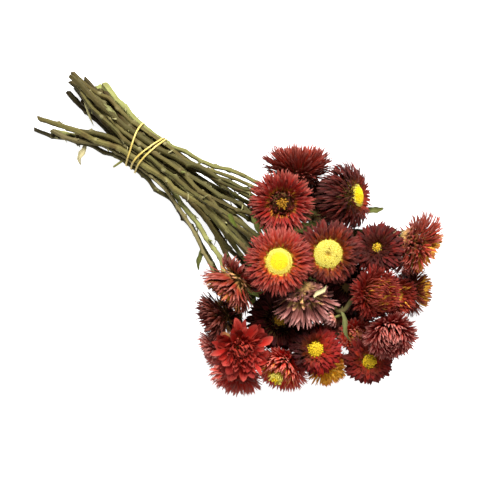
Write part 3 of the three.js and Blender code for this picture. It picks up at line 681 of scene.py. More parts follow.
class Surface:
    """Closed surfaces gathered for one mesh: corners, faces and what each corner carries."""

    def __init__(self):
        self.points, self.quads, self.triangles = [], [], []
        self.carried = {"course": [], "foot": [], "body": [], "tip": []}
        self.count = 0

    def add(self, points, quads, triangles, **carried):
        """points is (copies, corners, 3). The faces of one copy are repeated for each."""
        copies, corners, _ = points.shape
        offset = self.count + np.arange(copies)[:, None, None] * corners
        self.points.append(points.reshape(-1, 3))
        self.quads.append((quads + offset).reshape(-1, 4))
        self.triangles.append((triangles + offset).reshape(-1, 3))
        for name, values in self.carried.items():
            given = np.asarray(carried.get(name, (0.0, 0.0, 0.0)), float)
            values.append(np.broadcast_to(given, points.shape).reshape(-1, 3))
        self.count += copies * corners

    def mesh(self, name):
        """The bare mesh, from its corners, the corners of each face in turn and where each face starts."""
        quads, triangles = np.concatenate(self.quads), np.concatenate(self.triangles)
        loops = np.concatenate([quads.ravel(), triangles.ravel()])
        starts = np.append(np.arange(len(quads)) * 4, quads.size + np.arange(len(triangles)) * 3)
        mesh = bpy.data.meshes.new(name)
        mesh.vertices.add(self.count)
        mesh.vertices.foreach_set("co", np.concatenate(self.points).astype(np.float32).ravel())
        mesh.loops.add(len(loops))
        mesh.loops.foreach_set("vertex_index", loops.astype(np.int32))
        mesh.polygons.add(len(starts))
        mesh.polygons.foreach_set("loop_start", starts.astype(np.int32))
        mesh.update(calc_edges=True)
        return mesh

    def made(self, name, finish, replaces=()):
        """The piece, riding on the root. Its faces are smooth, and its edges sharp where they fold over."""
        mesh = self.mesh(name)
        for attribute, values in self.carried.items():
            flat = np.concatenate(values).astype(np.float32)
            if attribute == "course":
                layer = mesh.attributes.new(attribute, "FLOAT_VECTOR", "POINT")
                layer.data.foreach_set("vector", flat.ravel())
            else:
                layer = mesh.attributes.new(attribute, "FLOAT_COLOR", "POINT")
                layer.data.foreach_set("color", np.column_stack([flat, np.ones(len(flat))]).ravel())
        mesh.shade_smooth()
        mesh.set_sharp_from_angle(angle=SHARP)
        mesh.materials.append(finish)
        ridden(linked(name, mesh), replaces)


# ---- lines of the stems, places of the blooms


def corners_of(node):
    """The node's distinct corners."""
    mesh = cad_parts[node].data
    places = np.empty(3 * len(mesh.vertices))
    mesh.vertices.foreach_get("co", places)
    return np.unique(places.reshape(-1, 3), axis=0)


def stem_line(node):
    """The stem's middle line and radius at each of its rings, from the cut end to the bloom. Corners are
    grouped while another lies within reach, and a ring is a group of five at one distance from their
    middle. The stem narrows all the way to its bloom, so the rings follow each other by their radius."""
    points = corners_of(node)
    near = np.linalg.norm(points[:, None] - points, axis=2) < RING_REACH
    while (wider := near @ near).sum() > near.sum():
        near = wider
    rings = []
    for members in np.unique(near, axis=0):
        middle = points[members].mean(0)
        reach = np.linalg.norm(points[members] - middle, axis=1)
        is_round = np.ptp(reach) < RING_SPREAD * reach.mean()
        if members.sum() == RING_CORNERS and is_round and RING_RADII[0] < reach.mean() < RING_RADII[1]:
            rings.append((*middle, reach.mean()))
    rings = np.array(sorted(rings, key=lambda ring: -ring[3]))
    return rings[:, :3], rings[:, 3]


class Bloom:
    """A bloom's place, worked out from its stem: it faces on along the neck, and its base meets the end."""

    def __init__(self, number, style):
        self.number = number
        kind, radius, self.breadth, self.deep, self.pale, self.mauve, self.warm, self.heartwood = style
        self.radius = radius * MM
        self.shape = KINDS[kind]
        self.line, self.radii = stem_line(f"stem_{number:02d}")
        self.face = unit(self.line[-1] - self.line[-2])
        base = self.line[-1] + self.face * GAP
        self.heart = base - self.face * self.shape.base * self.radius
        self.middle = self.heart + self.face * self.shape.middle * self.radius
        level = UP if abs(self.face[2]) < 0.9 else AHEAD
        self.side = unit(np.cross(level, self.face))
        self.other = np.cross(self.face, self.side)
        self.walls = [(-UP, self.middle[2] - FLOOR_GAP)]

    def reach(self, directions):
        """How far the bloom's ellipsoid reaches from its middle in each direction."""
        along = (directions @ self.face) ** 2
        return self.radius * np.sqrt(1 - along + along * self.shape.half ** 2)

    def outward(self, angle):
        """Directions square to the axis, turned round it from the bloom's side."""
        return around(angle, self.side, self.other)

    def placed(self, out, angle, height):
        """Points at these shares of the radius from the axis, in these directions, and along it."""
        share = out[..., None] * self.outward(angle) + height[..., None] * self.face
        return self.heart + self.radius * share

    def pressed(self, points):
        """Points drawn in towards the middle so that they end inside every wall: each distance is divided
        by the twelfth root of 1 plus the twelfth power of its share of the nearest wall's."""
        out = points - self.middle
        share = np.zeros(points.shape[:-1])
        for normal, reach in self.walls:
            share = np.maximum(share, out @ normal / reach)
        return self.middle + out * ((1 + share**SOFTNESS) ** (-1 / SOFTNESS))[..., None]

    def turned(self, profile, ends, sides):
        """A solid round the axis, pressed: the profile of (radius, height) turned round it, and closed by
        a point on it at each end's height."""
        out, height = profile.T[..., None]
        rings = self.placed(out, np.linspace(0, TURN, sides, endpoint=False)[None], height)
        points = self.placed(np.zeros(2), np.zeros(2), np.array(ends))
        return self.pressed(closed(rings, points)), *ring_faces(len(profile), sides)


def build_walls(blooms):
    """Two blooms that press on each other share a flat wall, square to the direction, of many spread
    evenly over the sphere, in which they overlap least."""
    index = np.arange(DIRECTION_COUNT)
    z = 1 - (2 * index + 1) / DIRECTION_COUNT
    flat = np.sqrt(1 - z * z)
    directions = np.stack([np.cos(index * GOLDEN) * flat, np.sin(index * GOLDEN) * flat, z], -1)
    for a in blooms:
        for b in blooms[a.number :]:
            reach_a, reach_b = a.reach(directions), b.reach(directions)
            gaps = directions @ (b.middle - a.middle) - reach_a - reach_b
            best = gaps.argmax()
            if gaps[best] > NEARLY:
                continue
            share = 1 + gaps[best] / (reach_a[best] + reach_b[best])
            a.walls.append((directions[best], reach_a[best] * share - GAP / 2))
            b.walls.append((-directions[best], reach_b[best] * share - GAP / 2))


blooms = [Bloom(number, style) for number, style in enumerate(BLOOMS, 1)]
build_walls(blooms)
band_low, band_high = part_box("rubber_band")
tie = np.array([(band_low.x + band_high.x) / 2 + BAND_BEHIND, (band_low.y + band_high.y) / 2, 0.0])

# ---- blooms


def bract_outline(s, blunt):
    """Half the width of a bract of width 1 at each share s of its length: (1 - s to the power of blunt)
    times (0.45 + 0.9 s), over 0.9."""
    return 0.5 * (1 - s**blunt) * (0.45 + 0.9 * s) / 0.9


def bract_lines(bloom, order, angle, stray):
    """The middle line of each bract, and its angle round the axis at each step. It is a parabola from its
    foot to its tip that bows towards the face by its arch, all read off the guides at its place in the
    order, with a hook that grows as the fourth power. Where the disc is smaller than the eye that the
    guides leave, bracts lie further in, by the cube of their place."""
    guides = np.array(bloom.shape.guides)
    foot_out, foot_up, tip_out, tip_up, arch = (np.interp(order, guides[:, 0], g) for g in guides.T[1:])
    disc = DISCS[bloom.number].radius if bloom.number in DISCS else EYE
    closer = (EYE - disc) * order**3 * bloom.shape.eye
    foot_out = foot_out - closer
    tip_out = (tip_out - closer) * (1 + stray["radius"])
    tip_up = tip_up + stray["height"]
    s = BRACT_STEPS
    run_out, run_up = (tip_out - foot_out)[:, None], (tip_up - foot_up)[:, None]
    size = np.hypot(run_out, run_up)
    lift = arch[:, None] * 4 * s * (1 - s) + (stray["tip"] + 0.02)[:, None] * s**4
    out = foot_out[:, None] + run_out * s - lift * run_up / size
    up = foot_up[:, None] + run_up * s + lift * run_out / size
    leaning = angle[:, None] + stray["lean"][:, None] * s**2 / np.maximum(tip_out, 0.2)[:, None]
    return bloom.placed(out, leaning, up), leaning


def bracts_of(bloom, settings, order, angle, stray):
    """The bloom's bracts: blades along their lines, which lie flat round the axis but for their own twist,
    and grow narrower towards the heart."""
    middle, leaning = bract_lines(bloom, order, angle, stray)
    side = unit(np.cross(bloom.face, bloom.outward(leaning)))
    side, normal = square_to(middle, side)
    side, normal = twisted(side, normal, stray["twist"][:, None] * (0.4 + BRACT_STEPS))
    width = bloom.shape.width * bloom.breadth * bloom.radius * (1 + stray["width"])
    narrow = 1 - 0.35 * order - bloom.shape.slim * (order > bloom.shape.inner)
    half = (width * narrow)[:, None] * bract_outline(BRACT_STEPS, bloom.shape.blunt)
    channel = 0.32 + stray["channel"]
    points, quads, triangles = blades(middle, side, normal, half, channel, settings.thickness)
    return bloom.pressed(points), quads, triangles


def reds_of(bloom, settings, angle, draw):
    """The red of each bract's body and the colour of its tip: fresh red darkened, dulled and bleached by
    the bloom's shares of them, each with a draw of its own. The bleached tips are partly a painted sheen,
    and bracts towards a shaded side are painted darker, as painted shade."""
    # Painted shade: bracts that point to the bloom's shaded side are painted a darker red.
    heading, darker = SHADED_SIDES.get(bloom.number, (0, 0))
    deep = bloom.deep + darker * (bloom.outward(angle) @ toward(heading, 0))
    fresh = (1 + np.clip(-deep, 0, 1))[:, None] * settings.red
    body = blend(np.clip(deep + 0.36 * (draw() - 0.5), 0, 1) ** 0.8, fresh, settings.deep)
    body = blend(np.clip(bloom.mauve + 0.3 * (draw() - 0.5), 0, 1), body, settings.mauve)
    # The tips' bleached colour: partly real bleaching, partly a painted sheen.
    bleached = blend(bloom.mauve, settings.pale, settings.lilac)
    return body, blend(0.75 * np.clip(bloom.pale * (0.4 + 1.2 * draw()), 0, 1), 0.85 * body, bleached)


def warmed(bloom, settings, order, draw, body, tip):
    """Foot, body and tip with the bloom's warmth, which grows towards the heart. A foot starts as its
    body's red painted darker, a painted shade between the bracts' feet. The warmth turns the foot orange
    and then yellow, and where it is strong the body orange, and the body and tip golden."""
    inner = between(order, 0.35, 0.75)
    glow = bloom.warm * (0.35 + 0.9 * inner) * (0.7 + 0.6 * draw())
    warmth = np.clip(glow, 0, 1)
    # Painted shade: a foot that is not warmed is 0.35 of its body's red, for the shade between the feet.
    foot = blend(warmth, 0.35 * body, settings.ember)
    foot = blend(np.clip(1.6 * warmth * inner - 0.5, 0, 1), foot, settings.straw)
    body = blend(between(glow, 0.45, 4.45), body, settings.ember)
    golden = between(glow, 2, 4)
    return foot, blend(golden, body, settings.straw), blend(0.4 * golden, tip, settings.straw)


def hearted(bloom, settings, order, draw, foot, body, tip):
    """The colours with the heart's own: its bracts are dark, or some of them golden, and round a disc they
    take on its yellow."""
    inmost = between(order, bloom.shape.inner, bloom.shape.inner + 0.05)
    dark = inmost * max(bloom.heartwood, 0)
    golden = inmost * (draw() < -bloom.heartwood) * (0.75 + 0.25 * draw())
    halo = inmost * min(1.3 * bloom.warm, 1) * bloom.shape.eye
    foot, body, tip = (blend(dark, part, settings.deep) for part in (foot, body, tip))
    foot = blend(0.9 * halo, blend(golden, foot, settings.straw), settings.straw)
    body = blend(golden, body, blend(0.2, settings.straw, settings.ember))
    return foot, blend(0.2 * halo, body, settings.ember), blend(0.5 * golden, tip, settings.ember)


def bract_colours(bloom, settings, random, order, angle):
    """Foot, body and tip colours of each bract's corners. The lower bracts are darker, those in the seam
    bare, and the lowest scales dry. A bract's edges are painted a little paler, partly bleaching and partly
    a painted highlight, and its foot shows its claw behind."""

    def draw():
        return random.uniform(0, 1, len(order))

    body, tip = reds_of(bloom, settings, angle, draw)
    foot, body, tip = warmed(bloom, settings, order, draw, body, tip)
    foot, body, tip = hearted(bloom, settings, order, draw, foot, body, tip)
    depth = (0.5 + 0.5 * np.clip(order / 0.45 + 0.1 * bloom.warm, 0, 1))[:, None]
    low, high = bloom.shape.seam
    bare = (order > low) * (order < high) * (0.5 + 0.4 * draw())
    body = blend(bare, body * depth, 1.3 * np.array(settings.claw))
    tip = blend(0.8 * bare, tip * depth, settings.pale)
    across, above = SECTION.T
    rings = len(BRACT_STEPS) - 2
    edge = np.append(np.tile(np.abs(across) == 1, rings), (False, False)).astype(float)
    behind = np.append(np.tile(0.5 - above / 2, rings), (0.5, 0.5))
    dry = np.clip(1.2 - order / 0.07, 0, 1)[:, None]
    foot = blend(np.maximum(0.6 * behind, dry), foot[:, None], settings.claw)
    body = blend(np.maximum(0.06 * behind, 0.75 * dry), body[:, None], settings.claw)
    # Painted highlight, partly bleaching: the edges are painted paler towards the bleached colour.
    body = blend((0.03 + 0.15 * bloom.pale + 0.2 * bloom.mauve) * edge, body, settings.pale)
    tip = blend((0.03 + 0.25 * bloom.pale + 0.3 * bloom.mauve) * edge, tip[:, None], settings.pale)
    return {"foot": foot, "body": body, "tip": tip}


def receptacle_of(bloom):
    """The receptacle under the bracts: its outline turned round the axis, from the base to the last
    feet."""
    base, top = bloom.shape.base, bloom.shape.guides[-1][2]
    out, share = RECEPTACLE.T
    profile = np.column_stack([out, base + share * (top - base)])
    return bloom.turned(profile, (base, top + 0.02), RECEPTACLE_SIDES)


def bloom_piece(bloom, settings, finish):
    """A bloom: bracts that each stray by an even draw within their reach, turned by the golden angle from
    one to the next, and the receptacle."""
    random = np.random.default_rng(BLOOM_SEED + bloom.number)
    count = int(bloom.shape.bracts * settings.fullness / bloom.breadth)
    index = np.arange(count)
    order = (index + 0.5) / count
    loose = bloom.shape.loose
    stray = {name: loose * reach * random.uniform(-1, 1, count) for name, reach in STRAY.items()}
    angle = index * GOLDEN + stray["turn"]
    surface = Surface()
    bracts = bracts_of(bloom, settings, order, angle, stray)
    course = by_corner(BRACT_STEPS, BRACT_PATTERN * index)
    surface.add(*bracts, course=course, **bract_colours(bloom, settings, random, order, angle))
    points, quads, triangles = receptacle_of(bloom)
    place = (points - bloom.heart) / bloom.radius
    shaded = 0.4 * np.array(settings.claw)
    surface.add(points, quads, triangles, course=place, foot=shaded, body=shaded, tip=shaded)
    surface.made(f"bloom_{bloom.number:02d}", finish, [f"head_{bloom.number:02d}"])


# ---- florets


def dome_height(disc, share):
    """The florets' foot height at each share of the disc's radius: it falls from the crown to the rim as
    the square of the share, less a bell-shaped dimple in the middle."""
    sunk = disc.dimple * 0.10 * np.exp(-((share / 0.22) ** 2))
    return disc.rim + (disc.crown - disc.rim) * (1 - share**2) - sunk


def florets_of(bloom, disc, pitch, random, share):
    """Florets in a sunflower spiral over the dome, each a small five-sided tube that flares and closes.
    They stand along the axis, lean out towards the rim and stray a little."""
    count = len(share)
    angle = np.arange(count) * GOLDEN
    foot = bloom.placed(share * disc.radius, angle, dome_height(disc, share) - 0.02)
    lean = 0.1 + 0.5 * np.clip(share - 0.35, 0, 1)[:, None]
    axis = unit(bloom.face + bloom.outward(angle) * lean + 0.12 * random.normal(size=(count, 3)))
    side = unit(np.cross(axis, bloom.side + 0.3 * bloom.face))
    turns = np.linspace(0, TURN, FLORET_SIDES, endpoint=False) + random.uniform(0, 6.28, count)[:, None]
    outward = around(turns, side[:, None], np.cross(axis, side)[:, None])[:, None]
    tallness = bloom.radius * (disc.tall * (0.7 + 0.6 * random.uniform(0, 1, count)) + 0.02)[:, None]
    rise, wide = FLORET.T
    middle = foot[:, None] + axis[:, None] * (rise * tallness)[..., None]
    rings = middle[:, :, None] + outward * (wide * pitch)[:, None, None]
    top = foot + axis * 0.8 * tallness
    points = np.concatenate([rings.reshape(count, -1, 3), foot[:, None], top[:, None]], 1)
    return bloom.pressed(points), *ring_faces(len(FLORET), FLORET_SIDES)


def floret_colours(disc, settings, random, core, share):
    """The florets' colours: the core's, pale past a share of the radius, browner in the dimple, with some
    withered and all a little uneven."""
    tone = blend(np.clip((share - disc.pale_from) / 0.12, 0, 1), core, settings.rim)
    tone = blend(0.9 * disc.dimple * np.exp(-((share / 0.2) ** 2)), tone, settings.amber)
    withered = random.uniform(0, 1, len(share)) < disc.specks * (0.3 + share)
    uneven = 0.2 * random.uniform(0, 1, len(share)) ** 4
    return blend(np.where(withered, 0.85, uneven), tone, settings.speck)


def disc_piece(bloom, settings, finish):
    """A disc of florets, as many as its area holds at their pitch, over a dome of its own that closes the
    gaps between them. The dome is painted at 0.6 of the core's colour, a painted shade between the florets."""
    name, disc = f"disc_{bloom.number:02d}", DISCS[bloom.number]
    random = np.random.default_rng(DISC_SEED + bloom.number)
    count = int(math.pi * (disc.radius * bloom.radius) ** 2 / settings.pitch**2)
    share = np.sqrt((np.arange(count) + 0.5) / count)
    core = blend(disc.amber, settings.core, settings.amber)
    points, quads, triangles = florets_of(bloom, disc, settings.pitch, random, share)
    tone = floret_colours(disc, settings, random, core, share)[:, None]
    surface = Surface()
    surface.add(points, quads, triangles, course=points, body=tone)
    edge = disc.rim - DOME_SKIRT
    heights = np.append(edge, dome_height(disc, DOME_SHARES[1:]) - DOME_SUNK)
    profile = np.column_stack([disc.radius * DOME_SHARES, heights])
    points, quads, triangles = bloom.turned(profile, (edge, dome_height(disc, 0.0) - DOME_SUNK), DOME_SIDES)
    # Painted shade: the dome between the florets is painted at 0.6 of the core's colour.
    surface.add(points, quads, triangles, course=points, body=0.6 * core)
    surface.made(f"florets_{bloom.number:02d}", finish, [name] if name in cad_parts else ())


# ---- stems


def flowing(points, values, step):
    """The curve through the points at even steps of its length, with the values and the run along it.
    Between two points it is the cubic whose slopes are half the way between the neighbours on either
    side."""
    more = np.vstack([2 * points[0] - points[1], points, 2 * points[-1] - points[-2]])
    a, b, c, d = (more[i : len(more) - 3 + i, None] for i in range(4))
    t = np.linspace(0, 1, CURVE_STEPS, endpoint=False)[:, None]
    curve = 2 * b + (c - a) * t + (2 * a - 5 * b + 4 * c - d) * t**2 + (3 * b - a - 3 * c + d) * t**3
    curve = np.vstack([0.5 * curve.reshape(-1, 3), points[-1]])
    run = np.append(0, np.cumsum(np.linalg.norm(np.diff(curve, axis=0), axis=1)))
    even = np.linspace(0, run[-1], int(run[-1] / step) + 1)
    place = np.stack([np.interp(even, run, x) for x in curve.T], -1)
    return place, np.interp(even, run[::CURVE_STEPS], values), even


def carried_frames(line, first):
    """Side and up directions along a line: the first side is carried on and squared to each new
    direction."""
    along = unit(np.gradient(line, axis=0))
    sides = np.empty_like(line)
    side = first
    for k, direction in enumerate(along):
        side = squared(side, direction)
        sides[k] = side
    return sides, np.cross(sides, along)


class Stem:
    """A stem in fine steps: its line, radii, and directions to the side and up, its run along the line and
    the places of its knots, both in millimetres, and the turn at which a leaf grew from each knot."""

    def __init__(self, bloom, settings, random):
        self.bloom = bloom
        line, radii, run = flowing(bloom.line, bloom.radii, STEM_STEP)
        self.run = run / MM
        self.sides, self.ups = carried_frames(line, ACROSS)
        self.phase = random.uniform(0, TURN, 4)
        knots = np.cumsum(random.uniform(*KNOT_SPACING, MOST_KNOTS))
        self.knots = knots[knots < self.run[-1] - NECK]
        self.turns = np.arange(len(self.knots)) * GOLDEN + self.phase[0]
        self.line = self.crooked(line, settings.crook, random)
        stout = STOUT.get(bloom.number, 0.0) * np.clip(1 - self.run / STOUT_RUN, 0, 1)
        self.radii = radii * (1 + stout)

    def crooked(self, line, crook, random):
        """The line moved aside at each knot, in even runs between them, and less so inside the tie."""
        places = np.concatenate([[0], self.knots, [self.run[-1] - STRAIGHT_NECK, self.run[-1]]])
        stray = np.vstack([random.normal(size=(len(self.knots) + 1, 2)), np.zeros((2, 2))])
        free = 1 - np.exp(-(((line[:, 0] - tie[0]) / TIE_REACH) ** 4))
        aside, up = (np.interp(self.run, places, stray[:, i]) * crook * free for i in range(2))
        return line + self.sides * aside[:, None] + self.ups * up[:, None]

    def skin(self, settings):
        """Rings of corners along the line, and how far each corner lies in a leaf scar. The radius swells
        and shrinks with ribs that twist round the stem, slow waves, and a bell-shaped bump on one side of
        it at each knot."""
        s, a = self.run[:, None], STEM_ANGLES[None]
        first, second, third, fourth = self.phase
        ribs = settings.rib * (np.cos(5 * a + first + 0.02 * s) + 0.7 * np.cos(2 * a + second - 0.02 * s))
        waves = 0.05 * np.sin(s / 3.1 + third) + 0.04 * np.sin(s / 1.3 + fourth + a)
        near = np.exp(-(((s - self.knots) / KNOT_LENGTH) ** 2))[:, None]
        facing = np.clip(np.cos(a[..., None] - self.turns), 0, 1) ** 2
        bumps = (near * (0.25 + facing)).sum(-1) * settings.knot
        radius = self.radii[:, None] * (1 + ribs + waves) + bumps
        outward = around(a, self.sides[:, None], self.ups[:, None])
        rings = self.line[:, None] + outward * radius[..., None]
        return rings, np.clip((near * facing).sum(-1), 0, 1)

    def cut(self, rings):
        """The stem's corners: its rings, the first of them slanted, before them a smaller one and a
        middle, further in, for the cut face, and at the neck a point. Nothing reaches below the floor."""
        start, wide = self.line[0], self.radii[0]
        ahead = unit(self.line[1] - start)
        rings[0] += ahead * (0.7 * wide * np.cos(STEM_ANGLES - self.phase[1]))[:, None]
        lip = start + (rings[0] - start) * 0.72 + ahead * 0.1 * wide
        ends = [start + ahead * 0.45 * wide, self.line[-1] + self.bloom.face * 0.4 * MM]
        return np.maximum(closed(np.concatenate([lip[None], rings]), ends), (-np.inf, -np.inf, 0.0))

    def course(self):
        """Each corner's place for the grooves: round a circle, and the run along the stem in metres, which
        starts at a place of the stem's own."""
        rings = len(self.run) + 1
        turn = np.stack([np.cos(STEM_ANGLES), np.sin(STEM_ANGLES)], -1)
        turn = np.concatenate([np.tile(turn, (rings, 1)), np.zeros((2, 2))])
        height = np.append(np.repeat(np.append(0, self.run), len(STEM_ANGLES)), (0, self.run[-1])) * MM
        return np.column_stack([turn, height + 0.7 * self.bloom.number])


def stem_piece(bloom, settings, finish):
    """A stem with its knots, its pale cut face, leaf scars, and the scraps that hang at them."""
    random = np.random.default_rng(STEM_SEED + bloom.number)
    stem = Stem(bloom, settings, random)
    rings, scars = stem.skin(settings)
    points = stem.cut(rings)
    tone, blotch, pith = stem_colours(bloom, settings, random, stem.line[:, 2])
    body = blend(scars * random.uniform(0, 0.5), tone[:, None], settings.straw).reshape(-1, 3)
    body = np.concatenate([pith, body, pith[:1], tone[-1:]])
    tip = np.concatenate([pith, np.repeat(blotch, len(STEM_ANGLES), 0), pith[:1], blotch[-1:]])
    surface = Surface()
    faces = ring_faces(len(stem.run) + 1, len(STEM_ANGLES))
    surface.add(points, *faces, course=stem.course(), body=body, tip=tip)
    add_scraps(surface, stem, settings, random)
    surface.made(f"stalk_{bloom.number:02d}", finish, [f"stem_{bloom.number:02d}"])


def stem_colours(bloom, settings, random, height):
    """The stem's colour and its blotches' at each ring, and the cut face's. Stems that lie low are painted
    darker, a painted shade under the stems above them, and each neck under its bloom is painted darker,
    as painted shade."""
    draw = random.uniform(0, 1, 5)
    share = np.linspace(0, 1, len(height))
    tone = blend(0.95 * draw[0], settings.olive, settings.brown)
    tone = blend(0.1 + 0.35 * draw[1] * share + 0.2 * draw[1], tone[None], settings.green)
    tone = blend(0.7 * np.clip(4 * draw[4] - 3, 0, 1), tone, settings.khaki)
    # Random tone for each stem, and painted shade: the lower a stem lies, the darker it is painted.
    tone = tone * (0.5 + 0.8 * draw[3]) * (0.25 + 0.60 * np.clip(height / (22 * MM), 0, 1))[:, None]
    # Painted shade: the neck just under the bloom is painted darker.
    tone = tone * (1 - 0.5 * between(share, 0.82, 0.9))[:, None]
    if bloom.number in GREEN_STEMS:
        fresh = np.clip(0.95 - GREEN_STEMS[bloom.number] * share, 0, 1)
        tone = blend(fresh, tone, blend(0.18, 1.45 * np.array(settings.green), settings.straw))
    blotch = blend(0.5 * draw[2] + 0.2, tone, settings.brown)
    pith = np.broadcast_to(blend(0.4, settings.straw, tone[0]), (len(STEM_ANGLES), 3))
    return tone, blotch, pith


def add_scraps(surface, stem, settings, random):
    """Torn scraps of leaf at some of the knots: short blades that leave the stem between ahead and outward
    and bend aside as the square of their length. A few are large."""
    kept = random.uniform(0, 1, len(stem.knots)) < 0.85
    count = kept.sum()
    if not count:
        return
    at = np.searchsorted(stem.run, stem.knots[kept]).clip(0, len(stem.run) - 2)
    outward = around(stem.turns[kept], stem.sides[at], stem.ups[at])
    ahead = unit(stem.line[at + 1] - stem.line[at])
    across = np.cross(ahead, outward)[:, None]
    s = SCRAP_STEPS
    large = random.uniform(0, 1, count) < 0.24
    size = (random.uniform(1.2, 3.4, count) * np.where(large, 2.4, 1.0))[:, None, None] * MM
    bend = random.uniform(-0.6, 0.9, count)[:, None, None] * s[:, None] ** 2
    root = stem.line[at] + outward * (0.8 * stem.radii[at])[:, None]
    way = (0.75 * ahead + 0.7 * outward)[:, None] * s[:, None]
    middle = root[:, None] + size * (way + bend * across)
    wide = random.uniform(0.3, 0.65, count) * np.where(large, 1.8, 1.0) * MM
    half = wide[:, None] * np.sin(math.pi * (0.12 + 0.88 * s)) ** 0.7
    channel = random.uniform(-0.5, 0.8, count)
    scraps = blades(middle, *square_to(middle, across), half, channel, SCRAP_THICKNESS)
    tone = blend(random.uniform(0.1, 0.9, count), settings.green, settings.straw)[:, None]
    course = by_corner(s, np.arange(count) * LEAF_PATTERN)
    surface.add(*scraps, course=course, body=tone, tip=tone * 0.7)


# ---- leaves and shoots


def from_tie(place):
    return tie + np.array(place) * MM


def rooted(place):
    """The nearest place on any stem's line, short of its neck, to a place given from the tie."""
    wish = from_tie(place)
    start = np.concatenate([bloom.line[:-3] for bloom in blooms])
    run = np.concatenate([bloom.line[1:-2] for bloom in blooms]) - start
    share = np.clip(((wish - start) * run).sum(1) / (run * run).sum(1), 0, 1)
    places = start + share[:, None] * run
    return places[np.linalg.norm(places - wish, axis=1).argmin()]


def leaves_piece(settings, finish):
    """Dried leaves, with dark ones put in the gaps between the blooms as painted shade: each leaves its
    stem in its own direction, arches down by 0.3 of its length times the share squared, sways and twists as
    it curls, and is as wide as the sine of its place, with a wavy edge."""
    surface = Surface()
    s = LEAF_STEPS
    roots = [rooted(leaf[:3]) for leaf in LEAVES] + [from_tie(leaf[:3]) for leaf in CAUGHT_AND_SHADE_LEAVES]
    for index, (root, leaf) in enumerate(zip(roots, LEAVES + CAUGHT_AND_SHADE_LEAVES)):
        heading, pitch, long, wide, green, curl = leaf[3:]
        ahead, side, above = axes(heading, pitch)
        sway = 0.04 * curl * np.sin(7 * s)[:, None] * side
        middle = root + long * MM * (s[:, None] * ahead - 0.3 * s[:, None] ** 2 * above + sway)
        side, normal = twisted(*square_to(middle, side), 1.1 * curl * (s - 0.25))
        half = 0.5 * wide * MM * np.sin(math.pi * (0.14 + 0.8 * s)) * (1 + 0.12 * np.sin(19 * s + index))
        channel = np.array([0.25 + 0.45 * curl])
        blade = blades(middle[None], side[None], normal[None], half[None], channel, LEAF_THICKNESS)
        tone = blend(green, settings.straw, 0.7 * np.array(settings.green))
        course = by_corner(3 * s, np.array([LEAF_PATTERN * index]))
        surface.add(*blade, course=course, body=tone, tip=blend(0.3, tone, settings.brown))
    surface.made("dried_and_shade_leaves", finish)


def shoots_piece(settings, finish):
    """Side shoots: short ribbed rods. A stub ends broken, and the one with a bud ends inside it."""
    surface = Surface()
    rods = [(rooted(shoot[:3]), *shoot[3:]) for shoot in SHOOTS]
    rods.append((from_tie(BUD[:3]), *BUD[3:5], STALK_SHARE * BUD[5]))
    body = blend(0.5, settings.olive, settings.green)
    wide = SHOOT_PROFILE[:, 1, None] * MM * (1 + 0.15 * np.cos(4 * SHOOT_ANGLES))
    for root, heading, pitch, long in rods:
        ahead, side, above = axes(heading, pitch)
        middle = root + long * MM * SHOOT_PROFILE[:, :1] * ahead
        rings = middle[:, None] + around(SHOOT_ANGLES, side, above) * wide[..., None]
        points = closed(rings, [root, middle[-1] - 0.3 * MM * ahead])
        surface.add(points, *ring_faces(*rings.shape[:2]), course=points * 8, body=body, tip=body)
    surface.made("side_shoots", finish)


def bud_piece(settings, finish):
    """The bud on a side shoot: pointed bracts in a golden spiral that spread into a star. Each follows a
    bow from the bud's base out to its widest place."""
    heading, pitch, long, radius = BUD[3:]
    ahead, side, above = axes(heading, pitch)
    base = from_tie(BUD[:3]) + STALK_SHARE * long * MM * ahead
    random = np.random.default_rng(BUD_SEED)
    index = np.arange(BUD_BRACTS)
    order = (index + 0.5) / BUD_BRACTS
    s = BRACT_STEPS
    tall = long * (1 - STALK_SHARE) * MM * (0.45 + 0.7 * order)[:, None]
    out = radius * MM * (1.05 - 0.75 * order)[:, None] * np.sin(math.pi * (0.08 + 0.45 * s))
    outward = around(index * GOLDEN, side, above)[:, None]
    middle = base + out[..., None] * outward + (tall * s)[..., None] * ahead
    half = BUD_WIDTH * radius * MM * bract_outline(s, 3) * np.ones((BUD_BRACTS, 1))
    beside, normal = square_to(middle, np.cross(ahead, outward))
    bracts = blades(middle, beside, normal, half, np.full(BUD_BRACTS, 0.4), settings.thickness)
    course = by_corner(s, BUD_PATTERN * index)
    body = blend(random.uniform(0.4, 1.0, BUD_BRACTS), settings.mauve, settings.pale)[:, None]
    foot, tip = blend(0.5, body, settings.claw), blend(0.8, body, settings.lilac)
    surface = Surface()
    surface.add(*bracts, course=course, foot=foot, body=body, tip=tip)
    surface.made("bud", finish)


# ---- rubber band


def band_piece(settings):
    """The band: the frame's ribbon with its corners merged, its edges rounded and its run smoothed."""
    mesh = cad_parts["rubber_band"].data.copy()
    mesh.materials.clear()
    work = bmesh.new()
    work.from_mesh(mesh)
    bmesh.ops.remove_doubles(work, verts=work.verts, dist=BAND_DOUBLES)
    bmesh.ops.join_triangles(
        work, faces=work.faces, angle_face_threshold=math.pi / 3, angle_shape_threshold=math.pi
    )
    work.to_mesh(mesh)
    work.free()
    mesh.name = "band"
    mesh.materials.append(rubber_finish(settings.colour))
    mesh.shade_smooth()
    piece = linked("band", mesh)
    smooth = piece.modifiers.new("Smooth", "SUBSURF")
    smooth.levels = smooth.render_levels = 2
    ridden(piece, ["rubber_band"])


# ---- stage


def look(back):
    """The turn of a camera or light that looks against this direction."""
    return (-back).to_track_quat("-Z", "Y").to_euler()


